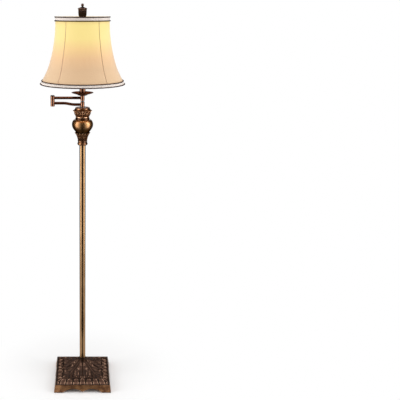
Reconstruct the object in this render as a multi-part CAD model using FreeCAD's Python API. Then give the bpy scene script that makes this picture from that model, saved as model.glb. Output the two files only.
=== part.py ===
import FreeCAD, Part
import math
import os

# Swing arm floor lamp. Millimetres, +Z up, the pole's axis is the Z axis and the floor is z = 0.
# The front of the lamp faces -Y. At rest the lower arm points to -X and the upper arm lies back over it.

# Gaps shared by every piece
FIT = 0.05
LOOSE = 0.2
OVERRUN = 5.0
RUN_SHARE = 0.45
IN_LINE = math.radians(179.9)

# Base
FELT_THICK = 2.0
FELT_INSET = 2.5
BASE_FOOT_SIDE = 244.0
APRON_TOP_SIDE = 232.0
APRON_TOP_Z = 36.0
BASE_WALL = 8.0
CORNER_FOOT_WIDTH = 38.0
ARCH_CROWN_Z = 18.0
ARCH_CUSP_Z = 5.0
BORDER_FOOT_SIDE = 226.0
BORDER_SHOULDER_SIDE = 209.0
BORDER_SHOULDER_Z = 44.0
PLATEAU_SIDE = 176.0
PLATEAU_Z = 50.0
DECK_THICK = 10.0
MOUND_RADIUS = 78.0
MOUND_TOP_RADIUS = 19.0
MOUND_TOP_Z = 88.0
MOUND_SWELL = 4.0
MOUND_WALL = 9.0

# Weight and its clamp inside the base
WEIGHT_SIDE = 156.0
WEIGHT_THICK = 26.0
WEIGHT_POCKET_RADIUS = 30.0
WEIGHT_POCKET_DEPTH = 16.0
CLAMP_WASHER_RADIUS = 26.0
CLAMP_WASHER_THICK = 2.0
NUT_RADIUS = 10.0
NUT_THICK = 5.0
NUT_SIDES = 6

# Threaded pipe that runs through the lamp, and its lead
PIPE_RADIUS = 5.0
PIPE_BORE_RADIUS = 3.0
PIPE_TAIL = 2.0
LEAD_RADIUS = 2.3
LEAD_FLOOR_GAP = 5.0
INLET_Z = 25.0
INLET_RADIUS = 6.5
INLET_FLANGE_RADIUS = 9.0
INLET_FLANGE_THICK = 2.0
INLET_BORE_RADIUS = 3.75
INLET_TAIL = 3.0
LEAD_START_GAP = 4.0
LEAD_DROP_RUN = 12.0

# Pole
POLE_RADIUS = 12.5
POLE_WALL = 1.2
POLE_LENGTH = 977.0
POLE_SECTIONS = 3
POLE_END_CHAMFER = 0.4
POLE_PLUG_LENGTH = 16.0
FOOT_COLLAR_HEIGHT = 16.0
FOOT_COLLAR_FOOT_RADIUS = 18.0
FOOT_COLLAR_TOP_RADIUS = 13.8

# Urn, with heights above its lowest face
URN_POLE_SEAT = 8.0
FOOT_RING_RADIUS = 20.5
FOOT_RING_GROOVE_RADIUS = 17.2
FOOT_RING_HEIGHT = 12.0
BEAD_RADIUS = 19.5
BEAD_HEIGHT = 7.0
CUP_FOOT_RADIUS = 16.6
CUP_WAIST_RADIUS = 19.6
CUP_LIP_RADIUS = 28.0
CUP_LIP_WIDTH = 1.8
CUP_HEIGHT = 30.0
BOWL_SEAT_RADIUS = 20.0
BOWL_SEAT_DEPTH = 8.0
BOWL_RADIUS = 42.0
BOWL_HEIGHT = 61.0
BOWL_WALL = 3.0
BOWL_SHARES = ((0.476, 0.0), (0.672, 0.213), (0.845, 0.377), (0.964, 0.541), (1.0, 0.705),
               (0.948, 0.869), (0.8, 1.0))
NECK_RADIUS = 27.0
NECK_BULGE = 1.6
NECK_HEIGHT = 7.0
NECK_RINGS = 2
COLLAR_FOOT_RADIUS = 25.6
COLLAR_FOOT_BULGE = 1.7
COLLAR_FOOT_HEIGHT = 7.0
COLLAR_RADIUS = 32.2
COLLAR_BELLY_SHARE = 0.95
COLLAR_HEIGHT = 33.0
COLLAR_RIM_HEIGHT = 8.5
COLLAR_RIM_BULGE = 2.4
CAP_RADIUS = 28.4
CAP_BULGE = 1.2
CAP_HEIGHT = 8.0
CAP_LIP_WIDTH = 4.0
CAP_DISH_DEPTH = 1.4

# Swing joints
ARM_LENGTH = 117.0
BARREL_RADIUS = 8.2
BARREL_BORE_RADIUS = 6.4
STUD_RADIUS = 5.0
STUD_FLANGE_RADIUS = 7.5
STUD_FLANGE_THICK = 1.0
STUD_SHANK = 6.0
FRICTION_WASHER_THICK = 0.6
FRICTION_WASHER_RADIUS = 7.4
BARREL_GAP = 0.1
BEARING_LENGTH = 5.0
RETAINER_THICK = 1.2
RETAINER_RADIUS = 6.0
STUD_TIP = 0.3
CAP_PLUG = 2.0
BARREL_CAP_RISE = 3.0
BARREL_CHAMFER = 0.8
PIVOT_BARREL_HEIGHT = 19.9
ELBOW_LIFT = 3.7
ELBOW_LOWER_HEIGHT = 20.0
ELBOW_HEIGHT = 43.0
ELBOW_FLOOR = 2.0
ELBOW_STUD_SEAT = 5.0
END_BARREL_LIFT = 1.2
END_BARREL_HEIGHT = 20.1
END_BARREL_FLOOR = 2.2
END_BARREL_ROOF = 3.0
END_SCREW_RADIUS = 2.3
END_SCREW_PROUD = 2.2
END_SCREW_TAIL = 1.2

# Arm tubes
ARM_TUBE_RADIUS = 5.4
ARM_TUBE_WALL = 1.0
LOWER_ARM_LIFT = 10.7
LOWER_ARM_RISE = 5.4
UPPER_ARM_LIFT = 12.3
LOWER_ARM_BEND_SHARES = (0.34, 0.56)

# Drip pan and socket cover
PAN_CUP_FOOT_RADIUS = 12.0
PAN_CUP_RADIUS = 20.0
PAN_CUP_HEIGHT = 4.4
PAN_CUP_EDGE = 1.2
PAN_RADIUS = 43.0
PAN_FLAT_RADIUS = 17.0
PAN_RISE = 7.0
PAN_SAG = 1.0
PAN_THICK = 1.0
COVER_RADIUS = 11.9
COVER_WALL = 1.0
COVER_HEIGHT = 56.6

# Harp and its saddle
SADDLE_WIDTH = 16.0
SADDLE_THICK = 1.6
SADDLE_LUG_HEIGHT = 13.0
HARP_WIRE_RADIUS = 1.75
HARP_FOOT_Y = 27.0
HARP_BELLY_Y = 55.0
HARP_SHOULDER_Y = 28.0
HARP_CROWN_Y = 12.0
HARP_LIFT = 2.4
HARP_HEIGHT = 222.0
HARP_HEIGHT_SHARES = (0.09, 0.27, 0.52, 0.93)
SLEEVE_RADIUS = 3.2
SLEEVE_LENGTH = 9.5
HARP_DISC_RADIUS = 7.5
HARP_DISC_THICK = 1.4
HARP_STUD_RADIUS = 3.0
HARP_STUD_LENGTH = 12.0

# Lamp socket and its turn knob
SOCKET_CAP_FOOT_RADIUS = 9.0
SOCKET_RADIUS = 17.0
SOCKET_WALL = 0.7
SOCKET_CAP_HEIGHT = 15.0
SOCKET_SHELL_HEIGHT = 42.0
SLEEVE_WALL = 0.8
SLEEVE_PROUD = 1.5
SOCKET_CORE_FLOOR = 15.0
SOCKET_CORE_HEIGHT = 38.0
CONTACT_RADIUS = 4.0
CONTACT_HEIGHT = 1.4
NIPPLE_REACH = 6.0
KNOB_SHAFT_RADIUS = 2.0
KNOB_SHAFT_DEPTH = 8.0
KNOB_SHAFT_HOLE_RADIUS = 2.6
KNOB_HEIGHT = 9.0
KNOB_STANDOFF = 5.0
KNOB_RADIUS = 6.0
KNOB_LENGTH = 9.0
KNOB_CROWN = 1.5

# Bulb
BULB_SCREW_RADIUS = 13.1
BULB_SCREW_LENGTH = 24.0
BULB_TIP_RADIUS = 7.0
BULB_TIP_LENGTH = 2.0
BULB_NECK_RADIUS = 14.2
BULB_NECK_LENGTH = 42.0
BULB_STRAIGHT_LENGTH = 11.0
BULB_WAIST_RADIUS = 19.0
BULB_RADIUS = 30.0
GLOBE_RISE_SHARE = 0.39

# Shade
SHADE_HEIGHT = 252.4
SHADE_RISE = 9.0
SHADE_TOP_RADIUS = 102.5
SHADE_BOTTOM_RADIUS = 162.5
SHADE_PANELS = 5
FRONT_ANGLE = -90.0
PANEL_THICK = 1.2
PANEL_GAP = 0.3
SHADE_FLARE_SHARES = ((0.0, 0.0), (0.18, 0.03), (0.37, 0.14), (0.56, 0.3), (0.74, 0.505),
                      (0.83, 0.655), (0.93, 0.865), (1.0, 1.0))
TOP_BAND_WIDTH = 17.4
BOTTOM_BAND_WIDTH = 15.4
BAND_THICK = 0.7
TRIM_GAP = 0.1
PIPING_RADIUS = 1.2
SEAM_PIPING_WIDTH = 1.8
SEAM_PIPING_THICK = 0.8
RIB_THICK = 1.8
RIB_WIDTH = 2.6
RING_WIRE_RADIUS = 1.6
RING_INSET = 0.4
SPIDER_ARMS = 3
SPIDER_ARM_RADIUS = 1.5
SPIDER_WASHER_RADIUS = 14.0
SPIDER_WASHER_THICK = 1.6
RADIUS_STEPS = 40

# Finial, with heights above its foot
FINIAL_FOOT_RADIUS = 9.0
FINIAL_FOOT_HEIGHT = 1.6
FINIAL_CUP_FOOT_RADIUS = 12.0
FINIAL_CUP_RADIUS = 15.5
FINIAL_CUP_FOOT_HEIGHT = 5.0
FINIAL_CUP_HEIGHT = 32.0
FINIAL_BRIM_RADIUS = 18.0
FINIAL_BRIM_HEIGHT = 4.0
FINIAL_ROOF_HEIGHT = 5.6
FINIAL_NECK_RADIUS = 3.2
FINIAL_NECK_HEIGHT = 1.4
FINIAL_BALL_RADIUS = 5.5
FINIAL_BORE_DEPTH = 9.0

# Places worked out from the sizes above
ORIGIN = FreeCAD.Vector(0, 0, 0)
UP = FreeCAD.Vector(0, 0, 1)
ALONG_X = FreeCAD.Vector(1, 0, 0)
CEILING_Z = PLATEAU_Z - DECK_THICK
WEIGHT_Z = CEILING_Z - WEIGHT_THICK
POCKET_TOP_Z = WEIGHT_Z + WEIGHT_POCKET_DEPTH
CLAMP_Z = POCKET_TOP_Z - CLAMP_WASHER_THICK
NUT_Z = CLAMP_Z - NUT_THICK
PIPE_FOOT_Z = NUT_Z - PIPE_TAIL
LEAD_FLOOR_Z = FELT_THICK + LEAD_FLOOR_GAP
POLE_FOOT_Z = MOUND_TOP_Z
POLE_TOP_Z = POLE_FOOT_Z + POLE_LENGTH
POLE_BORE_RADIUS = POLE_RADIUS - POLE_WALL
URN_Z = POLE_TOP_Z - URN_POLE_SEAT
CUP_Z = URN_Z + FOOT_RING_HEIGHT + BEAD_HEIGHT
BOWL_Z = CUP_Z + CUP_HEIGHT - BOWL_SEAT_DEPTH
NECK_Z = BOWL_Z + BOWL_HEIGHT
COLLAR_Z = NECK_Z + NECK_HEIGHT
CAP_Z = COLLAR_Z + COLLAR_HEIGHT
STUD_Z = CAP_Z + CAP_HEIGHT - CAP_DISH_DEPTH
FRICTION_Z = STUD_Z + STUD_FLANGE_THICK
PIVOT_BARREL_Z = FRICTION_Z + FRICTION_WASHER_THICK + BARREL_GAP
PIVOT_CAP_Z = PIVOT_BARREL_Z + PIVOT_BARREL_HEIGHT
ELBOW_X = -ARM_LENGTH
ELBOW_LOWER_Z = PIVOT_BARREL_Z + ELBOW_LIFT
ELBOW_SPLIT_Z = ELBOW_LOWER_Z + ELBOW_LOWER_HEIGHT
ELBOW_TOP_Z = ELBOW_LOWER_Z + ELBOW_HEIGHT
ELBOW_UPPER_Z = ELBOW_SPLIT_Z + FRICTION_WASHER_THICK + BARREL_GAP
ELBOW_CAP_Z = ELBOW_TOP_Z - BARREL_CAP_RISE
LOWER_ARM_Z = PIVOT_BARREL_Z + LOWER_ARM_LIFT
ELBOW_ARM_Z = LOWER_ARM_Z + LOWER_ARM_RISE
UPPER_ARM_Z = ELBOW_UPPER_Z + UPPER_ARM_LIFT
END_BARREL_Z = ELBOW_UPPER_Z + END_BARREL_LIFT
END_BARREL_TOP_Z = END_BARREL_Z + END_BARREL_HEIGHT
TUBE_END = BARREL_BORE_RADIUS + FIT
PIPE_HOLE_RADIUS = PIPE_RADIUS + FIT
PAN_Z = END_BARREL_TOP_Z + PAN_CUP_HEIGHT
COVER_Z = PAN_Z + PAN_THICK
COVER_TOP_Z = COVER_Z + COVER_HEIGHT
SADDLE_Z = COVER_TOP_Z
SADDLE_HALF_LENGTH = HARP_FOOT_Y + SLEEVE_RADIUS + SADDLE_THICK + LOOSE
SOCKET_Z = SADDLE_Z + SADDLE_THICK
SHELL_Z = SOCKET_Z + SOCKET_CAP_HEIGHT
CORE_Z = SOCKET_Z + SOCKET_WALL + NIPPLE_REACH
CORE_RADIUS = SOCKET_RADIUS - SOCKET_WALL - SLEEVE_WALL - 2 * FIT
KNOB_Z = CORE_Z + KNOB_HEIGHT
BULB_Z = CORE_Z + SOCKET_CORE_FLOOR + CONTACT_HEIGHT + FIT
HARP_FOOT_Z = SOCKET_Z + HARP_LIFT
HARP_TOP_Z = HARP_FOOT_Z + HARP_HEIGHT
SHADE_TOP_Z = HARP_TOP_Z + SHADE_RISE
SHADE_Z = SHADE_TOP_Z - SHADE_HEIGHT
WASHER_Z = HARP_TOP_Z + HARP_DISC_THICK + FIT
FINIAL_Z = WASHER_Z + SPIDER_WASHER_THICK + FIT


def vec(x, y, z):
    return FreeCAD.Vector(x, y, z)


def level(radius, height):
    return vec(radius, 0, height)


def straight(radius, height):
    return (level(radius, height),)


def curved(middle_radius, middle_height, radius, height):
    return (level(middle_radius, middle_height), level(radius, height))


def moved(shape, x=0, y=0, z=0):
    shape.translate(vec(x, y, z))
    return shape


def outline(start, steps):
    """A closed face in the XZ plane, from straight and curved steps between radii and heights."""
    here = level(*start)
    edges = []
    for step in steps + [straight(*start)]:
        if len(step) == 2:
            edges.append(Part.Arc(here, step[0], step[1]).toShape())
        else:
            edges.append(Part.makeLine(here, step[0]))
        here = step[-1]
    return Part.Face(Part.Wire(edges))


def turned(start, steps):
    """A solid turned from an outline about the upright axis."""
    return outline(start, steps).revolve(ORIGIN, UP, 360)


def rod(radius, low, high):
    return Part.makeCylinder(radius, high - low, vec(0, 0, low))


def tube(radius, bore, low, high):
    return rod(radius, low, high).cut(rod(bore, low - OVERRUN, high + OVERRUN))


def crossways(radius, start, length):
    """A round bar along +X from a start point."""
    return Part.makeCylinder(radius, length, start, ALONG_X)


def rounded_path(points):
    """Straight runs joined by tangent arcs, each as large as its two runs allow."""
    edges = []
    here = points[0]
    for before, corner, after in zip(points, points[1:], points[2:]):
        back = before - corner
        ahead = after - corner
        if back.getAngle(ahead) > IN_LINE:
            edges.append(Part.makeLine(here, corner))
            here = corner
            continue
        setback = RUN_SHARE * min(back.Length, ahead.Length)
        half = back.getAngle(ahead) / 2
        back.normalize()
        ahead.normalize()
        inward = back + ahead
        inward.normalize()
        nearest = setback / math.cos(half) - setback * math.tan(half)
        leave = corner + back * setback
        join = corner + ahead * setback
        edges.append(Part.makeLine(here, leave))
        edges.append(Part.Arc(leave, corner + inward * nearest, join).toShape())
        here = join
    edges.append(Part.makeLine(here, points[-1]))
    return Part.Wire(edges)


def bent_rod(points, radius):
    ring = Part.Wire(Part.makeCircle(radius, points[0], points[1] - points[0]))
    return rounded_path(points).makePipeShell([ring], True, False)


def frustum(sections):
    """A solid with level square sections, each given by its side and height."""
    wires = []
    for side, height in sections:
        half = side / 2
        corners = [vec(-half, -half, height), vec(half, -half, height),
                   vec(half, half, height), vec(-half, half, height)]
        wires.append(Part.makePolygon(corners + corners[:1]))
    return Part.makeLoft(wires, True, True)


def box(x_low, x_high, y_low, y_high, z_low, z_high):
    corner = vec(x_low, y_low, z_low)
    return Part.makeBox(x_high - x_low, y_high - y_low, z_high - z_low, corner)


# Base

ARCH_END = BASE_FOOT_SIDE / 2 - CORNER_FOOT_WIDTH


def felt_feet():
    """One square pad under each corner foot."""
    inner = ARCH_END + FELT_INSET
    outer = BASE_FOOT_SIDE / 2 - FELT_INSET
    pads = []
    for x_side in (-1, 1):
        for y_side in (-1, 1):
            x_pair = sorted((x_side * inner, x_side * outer))
            y_pair = sorted((y_side * inner, y_side * outer))
            pads.append(box(*x_pair, *y_pair, 0, FELT_THICK))
    return Part.makeCompound(pads)


def arches():
    """The cutter for the two arches of the front and back."""
    reach = BASE_FOOT_SIDE
    cutters = []
    for side in (-1, 1):
        foot = vec(side * ARCH_END, -reach, FELT_THICK)
        crown = vec(side * ARCH_END / 2, -reach, ARCH_CROWN_Z)
        cusp = vec(0, -reach, ARCH_CUSP_Z)
        below_cusp = vec(0, -reach, -OVERRUN)
        below_foot = vec(side * ARCH_END, -reach, -OVERRUN)
        edges = [Part.Arc(foot, crown, cusp).toShape(), Part.makeLine(cusp, below_cusp),
                 Part.makeLine(below_cusp, below_foot), Part.makeLine(below_foot, foot)]
        cutters.append(Part.Face(Part.Wire(edges)).extrude(vec(0, 2 * reach, 0)))
    return cutters[0].fuse(cutters[1])


def mound():
    """The swelling middle of the base, up to the pole's foot."""
    middle_radius = (MOUND_RADIUS + MOUND_TOP_RADIUS) / 2
    middle_z = (PLATEAU_Z + MOUND_TOP_Z) / 2 + MOUND_SWELL
    return turned((0, CEILING_Z), [
        straight(MOUND_RADIUS, CEILING_Z),
        straight(MOUND_RADIUS, PLATEAU_Z),
        curved(middle_radius, middle_z, MOUND_TOP_RADIUS, MOUND_TOP_Z),
        straight(0, MOUND_TOP_Z)])


def mound_hollow():
    top_radius = MOUND_TOP_RADIUS - MOUND_WALL / 2
    return turned((0, CEILING_Z - OVERRUN), [
        straight(MOUND_RADIUS - 2 * MOUND_WALL, CEILING_Z - OVERRUN),
        straight(MOUND_RADIUS - 2 * MOUND_WALL, CEILING_Z),
        straight(top_radius, MOUND_TOP_Z - 2 * MOUND_WALL),
        straight(0, MOUND_TOP_Z - 2 * MOUND_WALL)])


def base_hollow():
    """The space under the base, which leaves a solid post at each corner."""
    foot_side = BASE_FOOT_SIDE - 2 * BASE_WALL
    roof_side = BORDER_FOOT_SIDE - 2 * BASE_WALL
    block = frustum([(foot_side, FELT_THICK - OVERRUN), (roof_side, CEILING_Z)])
    reach = BASE_FOOT_SIDE
    one_way = box(-ARCH_END, ARCH_END, -reach, reach, -OVERRUN, CEILING_Z)
    other_way = box(-reach, reach, -ARCH_END, ARCH_END, -OVERRUN, CEILING_Z)
    return block.common(one_way.fuse(other_way))


def base_casting():
    apron = frustum([(BASE_FOOT_SIDE, FELT_THICK), (APRON_TOP_SIDE, APRON_TOP_Z)])
    border = frustum([(BORDER_FOOT_SIDE, APRON_TOP_Z), (BORDER_SHOULDER_SIDE, BORDER_SHOULDER_Z),
                      (PLATEAU_SIDE, PLATEAU_Z)])
    side_arches = arches()
    side_arches.rotate(ORIGIN, UP, 90)
    solid = apron.fuse(border).fuse(mound())
    for cutter in (base_hollow(), mound_hollow(), arches(), side_arches,
                   rod(PIPE_HOLE_RADIUS, 0, MOUND_TOP_Z + OVERRUN), inlet_hole()):
        solid = solid.cut(cutter)
    return solid.removeSplitter()


def inlet_outer_y():
    """Where the sloping rear apron stands at the inlet's height."""
    share = (INLET_Z - FELT_THICK) / (APRON_TOP_Z - FELT_THICK)
    return (BASE_FOOT_SIDE + (APRON_TOP_SIDE - BASE_FOOT_SIDE) * share) / 2


def inlet_hole():
    start = vec(0, inlet_outer_y() - BASE_WALL - OVERRUN, INLET_Z)
    length = BASE_WALL + 2 * OVERRUN
    return Part.makeCylinder(INLET_RADIUS + FIT, length, start, vec(0, 1, 0))


def cord_inlet_bushing():
    """A flanged bush in the rear apron, bored for the mains lead."""
    slope = (BASE_FOOT_SIDE - APRON_TOP_SIDE) / 2 / (APRON_TOP_Z - FELT_THICK)
    face_y = inlet_outer_y() + slope * INLET_FLANGE_RADIUS
    back = vec(0, 1, 0)
    length = face_y - inlet_outer_y() + BASE_WALL + INLET_TAIL
    body = Part.makeCylinder(INLET_RADIUS, length, vec(0, face_y - length, INLET_Z), back)
    flange = Part.makeCylinder(INLET_FLANGE_RADIUS, INLET_FLANGE_THICK, vec(0, face_y, INLET_Z), back)
    reach = length + INLET_FLANGE_THICK + 2 * OVERRUN
    start = vec(0, face_y - length - OVERRUN, INLET_Z)
    return body.fuse(flange).cut(Part.makeCylinder(INLET_BORE_RADIUS, reach, start, back))


def base_weight():
    half = WEIGHT_SIDE / 2
    slab = box(-half, half, -half, half, WEIGHT_Z, CEILING_Z)
    slab = slab.cut(rod(WEIGHT_POCKET_RADIUS, WEIGHT_Z - OVERRUN, POCKET_TOP_Z))
    return slab.cut(rod(PIPE_HOLE_RADIUS, WEIGHT_Z, CEILING_Z + OVERRUN))


def weight_clamp_washer():
    return tube(CLAMP_WASHER_RADIUS, PIPE_HOLE_RADIUS, CLAMP_Z, POCKET_TOP_Z)


def base_lock_nut():
    corners = []
    for index in range(NUT_SIDES + 1):
        angle = 2 * math.pi * index / NUT_SIDES
        corners.append(vec(NUT_RADIUS * math.cos(angle), NUT_RADIUS * math.sin(angle), NUT_Z))
    blank = Part.Face(Part.makePolygon(corners)).extrude(vec(0, 0, NUT_THICK))
    return blank.cut(rod(PIPE_HOLE_RADIUS, NUT_Z - OVERRUN, CLAMP_Z + OVERRUN))


def base_nipple():
    return tube(PIPE_RADIUS, PIPE_BORE_RADIUS, PIPE_FOOT_Z, POLE_FOOT_Z + POLE_PLUG_LENGTH)


def pole_foot_collar():
    """A cone that covers the seat of the pole."""
    top = MOUND_TOP_Z + FOOT_COLLAR_HEIGHT
    bore = POLE_RADIUS + FIT
    middle_radius = (FOOT_COLLAR_FOOT_RADIUS + 2 * FOOT_COLLAR_TOP_RADIUS) / 3
    return turned((bore, MOUND_TOP_Z), [
        straight(FOOT_COLLAR_FOOT_RADIUS, MOUND_TOP_Z),
        curved(middle_radius, (MOUND_TOP_Z + top) / 2, FOOT_COLLAR_TOP_RADIUS, top),
        straight(bore, top)])


# Pole

SECTION_LENGTH = (POLE_TOP_Z - POLE_FOOT_Z) / POLE_SECTIONS


def pole_section(index):
    """One length of pole, with its end edges broken."""
    low = POLE_FOOT_Z + index * SECTION_LENGTH
    high = low + SECTION_LENGTH
    eased = POLE_RADIUS - POLE_END_CHAMFER
    return turned((POLE_BORE_RADIUS, low), [
        straight(eased, low), straight(POLE_RADIUS, low + POLE_END_CHAMFER),
        straight(POLE_RADIUS, high - POLE_END_CHAMFER), straight(eased, high),
        straight(POLE_BORE_RADIUS, high)])


def pole_inserts():
    """The threaded joiner inside each joint of the pole and the plug in each of its ends."""
    low_plug = tube(POLE_BORE_RADIUS - FIT, PIPE_HOLE_RADIUS, POLE_FOOT_Z, POLE_FOOT_Z + POLE_PLUG_LENGTH)
    top_plug = tube(POLE_BORE_RADIUS - FIT, PIPE_HOLE_RADIUS, POLE_TOP_Z - POLE_PLUG_LENGTH, POLE_TOP_Z)
    inserts = [low_plug, top_plug]
    for index in range(1, POLE_SECTIONS):
        middle = POLE_FOOT_Z + index * SECTION_LENGTH
        inserts.append(tube(POLE_BORE_RADIUS - FIT, PIPE_BORE_RADIUS,
                            middle - POLE_PLUG_LENGTH, middle + POLE_PLUG_LENGTH))
    return Part.makeCompound(inserts)


def pole_lead():
    """The lead from inside the inlet, under the weight and up the pole to the first swing joint."""
    slope = (BASE_FOOT_SIDE - APRON_TOP_SIDE) / 2 / (APRON_TOP_Z - FELT_THICK)
    start_y = inlet_outer_y() - BASE_WALL - INLET_TAIL - slope * INLET_RADIUS - LEAD_START_GAP
    drop_y = start_y - LEAD_DROP_RUN
    turn_y = (PIPE_FOOT_Z - LEAD_FLOOR_Z) / RUN_SHARE
    points = [vec(0, start_y, INLET_Z), vec(0, drop_y, INLET_Z),
              vec(0, drop_y - LEAD_DROP_RUN, LEAD_FLOOR_Z), vec(0, turn_y, LEAD_FLOOR_Z),
              vec(0, 0, LEAD_FLOOR_Z), vec(0, 0, LEAD_FLOOR_Z + turn_y),
              vec(0, 0, stud_top(FRICTION_Z))]
    return bent_rod(points, LEAD_RADIUS)


# Urn

def urn_foot_ring():
    """The ring and bead that the urn stands on, bored for the pole's end."""
    bore = POLE_RADIUS + FIT
    ring_top = URN_Z + FOOT_RING_HEIGHT
    bead_foot = ring_top + BEAD_HEIGHT / 5
    return turned((bore, URN_Z), [
        straight(FOOT_RING_GROOVE_RADIUS, URN_Z),
        curved(FOOT_RING_RADIUS, URN_Z + FOOT_RING_HEIGHT / 2, FOOT_RING_GROOVE_RADIUS, ring_top),
        straight(FOOT_RING_GROOVE_RADIUS, bead_foot),
        curved(BEAD_RADIUS, (bead_foot + CUP_Z) / 2, FOOT_RING_GROOVE_RADIUS, CUP_Z),
        straight(PIPE_HOLE_RADIUS, CUP_Z), straight(PIPE_HOLE_RADIUS, POLE_TOP_Z + FIT),
        straight(bore, POLE_TOP_Z + FIT)])


def acanthus_cup():
    """The leafy cup that holds the bowl."""
    lip_z = CUP_Z + CUP_HEIGHT
    return turned((PIPE_HOLE_RADIUS, CUP_Z), [
        straight(CUP_FOOT_RADIUS, CUP_Z),
        curved(CUP_WAIST_RADIUS, (CUP_Z + lip_z) / 2, CUP_LIP_RADIUS, lip_z),
        straight(CUP_LIP_RADIUS - CUP_LIP_WIDTH + FIT, lip_z),
        straight(BOWL_SEAT_RADIUS + LOOSE, BOWL_Z), straight(PIPE_HOLE_RADIUS, BOWL_Z)])


def bowl_solid(radius, low, high):
    """The bowl's round form, scaled to a radius and a height."""
    points = []
    for radius_share, height_share in BOWL_SHARES:
        points.append(level(radius * radius_share, low + (high - low) * height_share))
    side = Part.BSplineCurve()
    side.interpolate(points)
    foot = level(0, low)
    head = level(0, high)
    edges = [Part.makeLine(foot, points[0]), side.toShape(), Part.makeLine(points[-1], head),
             Part.makeLine(head, foot)]
    return Part.Face(Part.Wire(edges)).revolve(ORIGIN, UP, 360)


def urn_bowl():
    outer = bowl_solid(BOWL_RADIUS, BOWL_Z, NECK_Z)
    hollow = bowl_solid(BOWL_RADIUS - BOWL_WALL, BOWL_Z + BOWL_WALL, NECK_Z - BOWL_WALL)
    return outer.cut(hollow).cut(rod(PIPE_HOLE_RADIUS, BOWL_Z - OVERRUN, NECK_Z + OVERRUN))


def urn_neck_ring():
    """Two fine rings between the bowl and the collar."""
    ring_height = NECK_HEIGHT / NECK_RINGS
    steps = [straight(NECK_RADIUS, NECK_Z)]
    for index in range(NECK_RINGS):
        low = NECK_Z + index * ring_height
        steps.append(curved(NECK_RADIUS + NECK_BULGE, low + ring_height / 2,
                            NECK_RADIUS, low + ring_height))
    return turned((PIPE_HOLE_RADIUS, NECK_Z), steps + [straight(PIPE_HOLE_RADIUS, COLLAR_Z)])


def leaf_collar():
    """The carved collar, with a ring at its foot and a wider rim."""
    foot_top = COLLAR_Z + COLLAR_FOOT_HEIGHT
    rim_z = CAP_Z - COLLAR_RIM_HEIGHT
    return turned((PIPE_HOLE_RADIUS, COLLAR_Z), [
        straight(COLLAR_FOOT_RADIUS, COLLAR_Z),
        curved(COLLAR_FOOT_RADIUS + COLLAR_FOOT_BULGE, (COLLAR_Z + foot_top) / 2,
               COLLAR_FOOT_RADIUS, foot_top),
        curved(COLLAR_RADIUS * COLLAR_BELLY_SHARE, (foot_top + rim_z) / 2, COLLAR_RADIUS, rim_z),
        curved(COLLAR_RADIUS + COLLAR_RIM_BULGE, (rim_z + CAP_Z) / 2, COLLAR_RADIUS, CAP_Z),
        straight(PIPE_HOLE_RADIUS, CAP_Z)])


def urn_cap():
    """The smooth cap of the urn, with a shallow dish on top."""
    top = CAP_Z + CAP_HEIGHT
    lip_inner = CAP_RADIUS - CAP_LIP_WIDTH
    return turned((PIPE_HOLE_RADIUS, CAP_Z), [
        straight(CAP_RADIUS, CAP_Z),
        curved(CAP_RADIUS + CAP_BULGE, (CAP_Z + top) / 2, CAP_RADIUS - CAP_BULGE, top),
        straight(lip_inner, top), straight(lip_inner - CAP_DISH_DEPTH, STUD_Z),
        straight(PIPE_HOLE_RADIUS, STUD_Z)])


def urn_center_pipe():
    return tube(PIPE_RADIUS, PIPE_BORE_RADIUS, POLE_TOP_Z - POLE_PLUG_LENGTH, STUD_Z - STUD_SHANK)


# Swing joints

def stud_top(seat_z):
    """The tip of a hollow stud whose flange or barrel ends at seat_z."""
    washer_top = seat_z + FRICTION_WASHER_THICK + BARREL_GAP
    return washer_top + BEARING_LENGTH + LOOSE + RETAINER_THICK + STUD_TIP


def retainer(seat_z):
    """The spring ring that keeps a barrel on its stud."""
    low = seat_z + FRICTION_WASHER_THICK + BARREL_GAP + BEARING_LENGTH + LOOSE
    return tube(RETAINER_RADIUS, STUD_RADIUS + FIT, low, low + RETAINER_THICK)


def friction_washer(seat_z):
    return tube(FRICTION_WASHER_RADIUS, STUD_RADIUS + FIT, seat_z, seat_z + FRICTION_WASHER_THICK)


def turning_barrel(low, high, arm_z, arm_side):
    """A barrel that turns on a stud, with a side hole for its arm."""
    edge = BARREL_RADIUS
    blank = turned((STUD_RADIUS + FIT, low), [
        straight(edge, low), straight(edge, high), straight(BARREL_BORE_RADIUS, high),
        straight(BARREL_BORE_RADIUS, low + BEARING_LENGTH),
        straight(STUD_RADIUS + FIT, low + BEARING_LENGTH)])
    return blank.cut(arm_hole(arm_z, arm_side))


def arm_hole(arm_z, arm_side):
    """The cutter for an arm's hole, from inside a barrel's bore outwards."""
    length = BARREL_RADIUS + OVERRUN
    start_x = 0 if arm_side > 0 else -length
    hole = crossways(ARM_TUBE_RADIUS + FIT, vec(start_x, 0, arm_z), length)
    return hole.cut(rod(BARREL_BORE_RADIUS, arm_z - length, arm_z + length))


def barrel_cap(seat_z):
    """A domed cap with a plug that fills a barrel's bore."""
    top = seat_z + BARREL_CAP_RISE
    plug = BARREL_BORE_RADIUS - FIT
    return turned((0, seat_z - CAP_PLUG), [
        straight(plug, seat_z - CAP_PLUG), straight(plug, seat_z), straight(BARREL_RADIUS, seat_z),
        straight(BARREL_RADIUS, seat_z + BARREL_CHAMFER),
        curved(BARREL_RADIUS * 2 / 3, top - BARREL_CHAMFER / 2, BARREL_RADIUS / 4, top),
        straight(0, top)])


def pivot_stud():
    """The hollow stud that clamps the urn and carries the first barrel."""
    top = stud_top(FRICTION_Z)
    return turned((PIPE_BORE_RADIUS, STUD_Z - STUD_SHANK), [
        straight(STUD_RADIUS, STUD_Z - STUD_SHANK), straight(STUD_RADIUS, STUD_Z),
        straight(STUD_FLANGE_RADIUS, STUD_Z), straight(STUD_FLANGE_RADIUS, FRICTION_Z),
        straight(STUD_RADIUS, FRICTION_Z), straight(STUD_RADIUS, top),
        straight(PIPE_BORE_RADIUS, top)])


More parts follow.
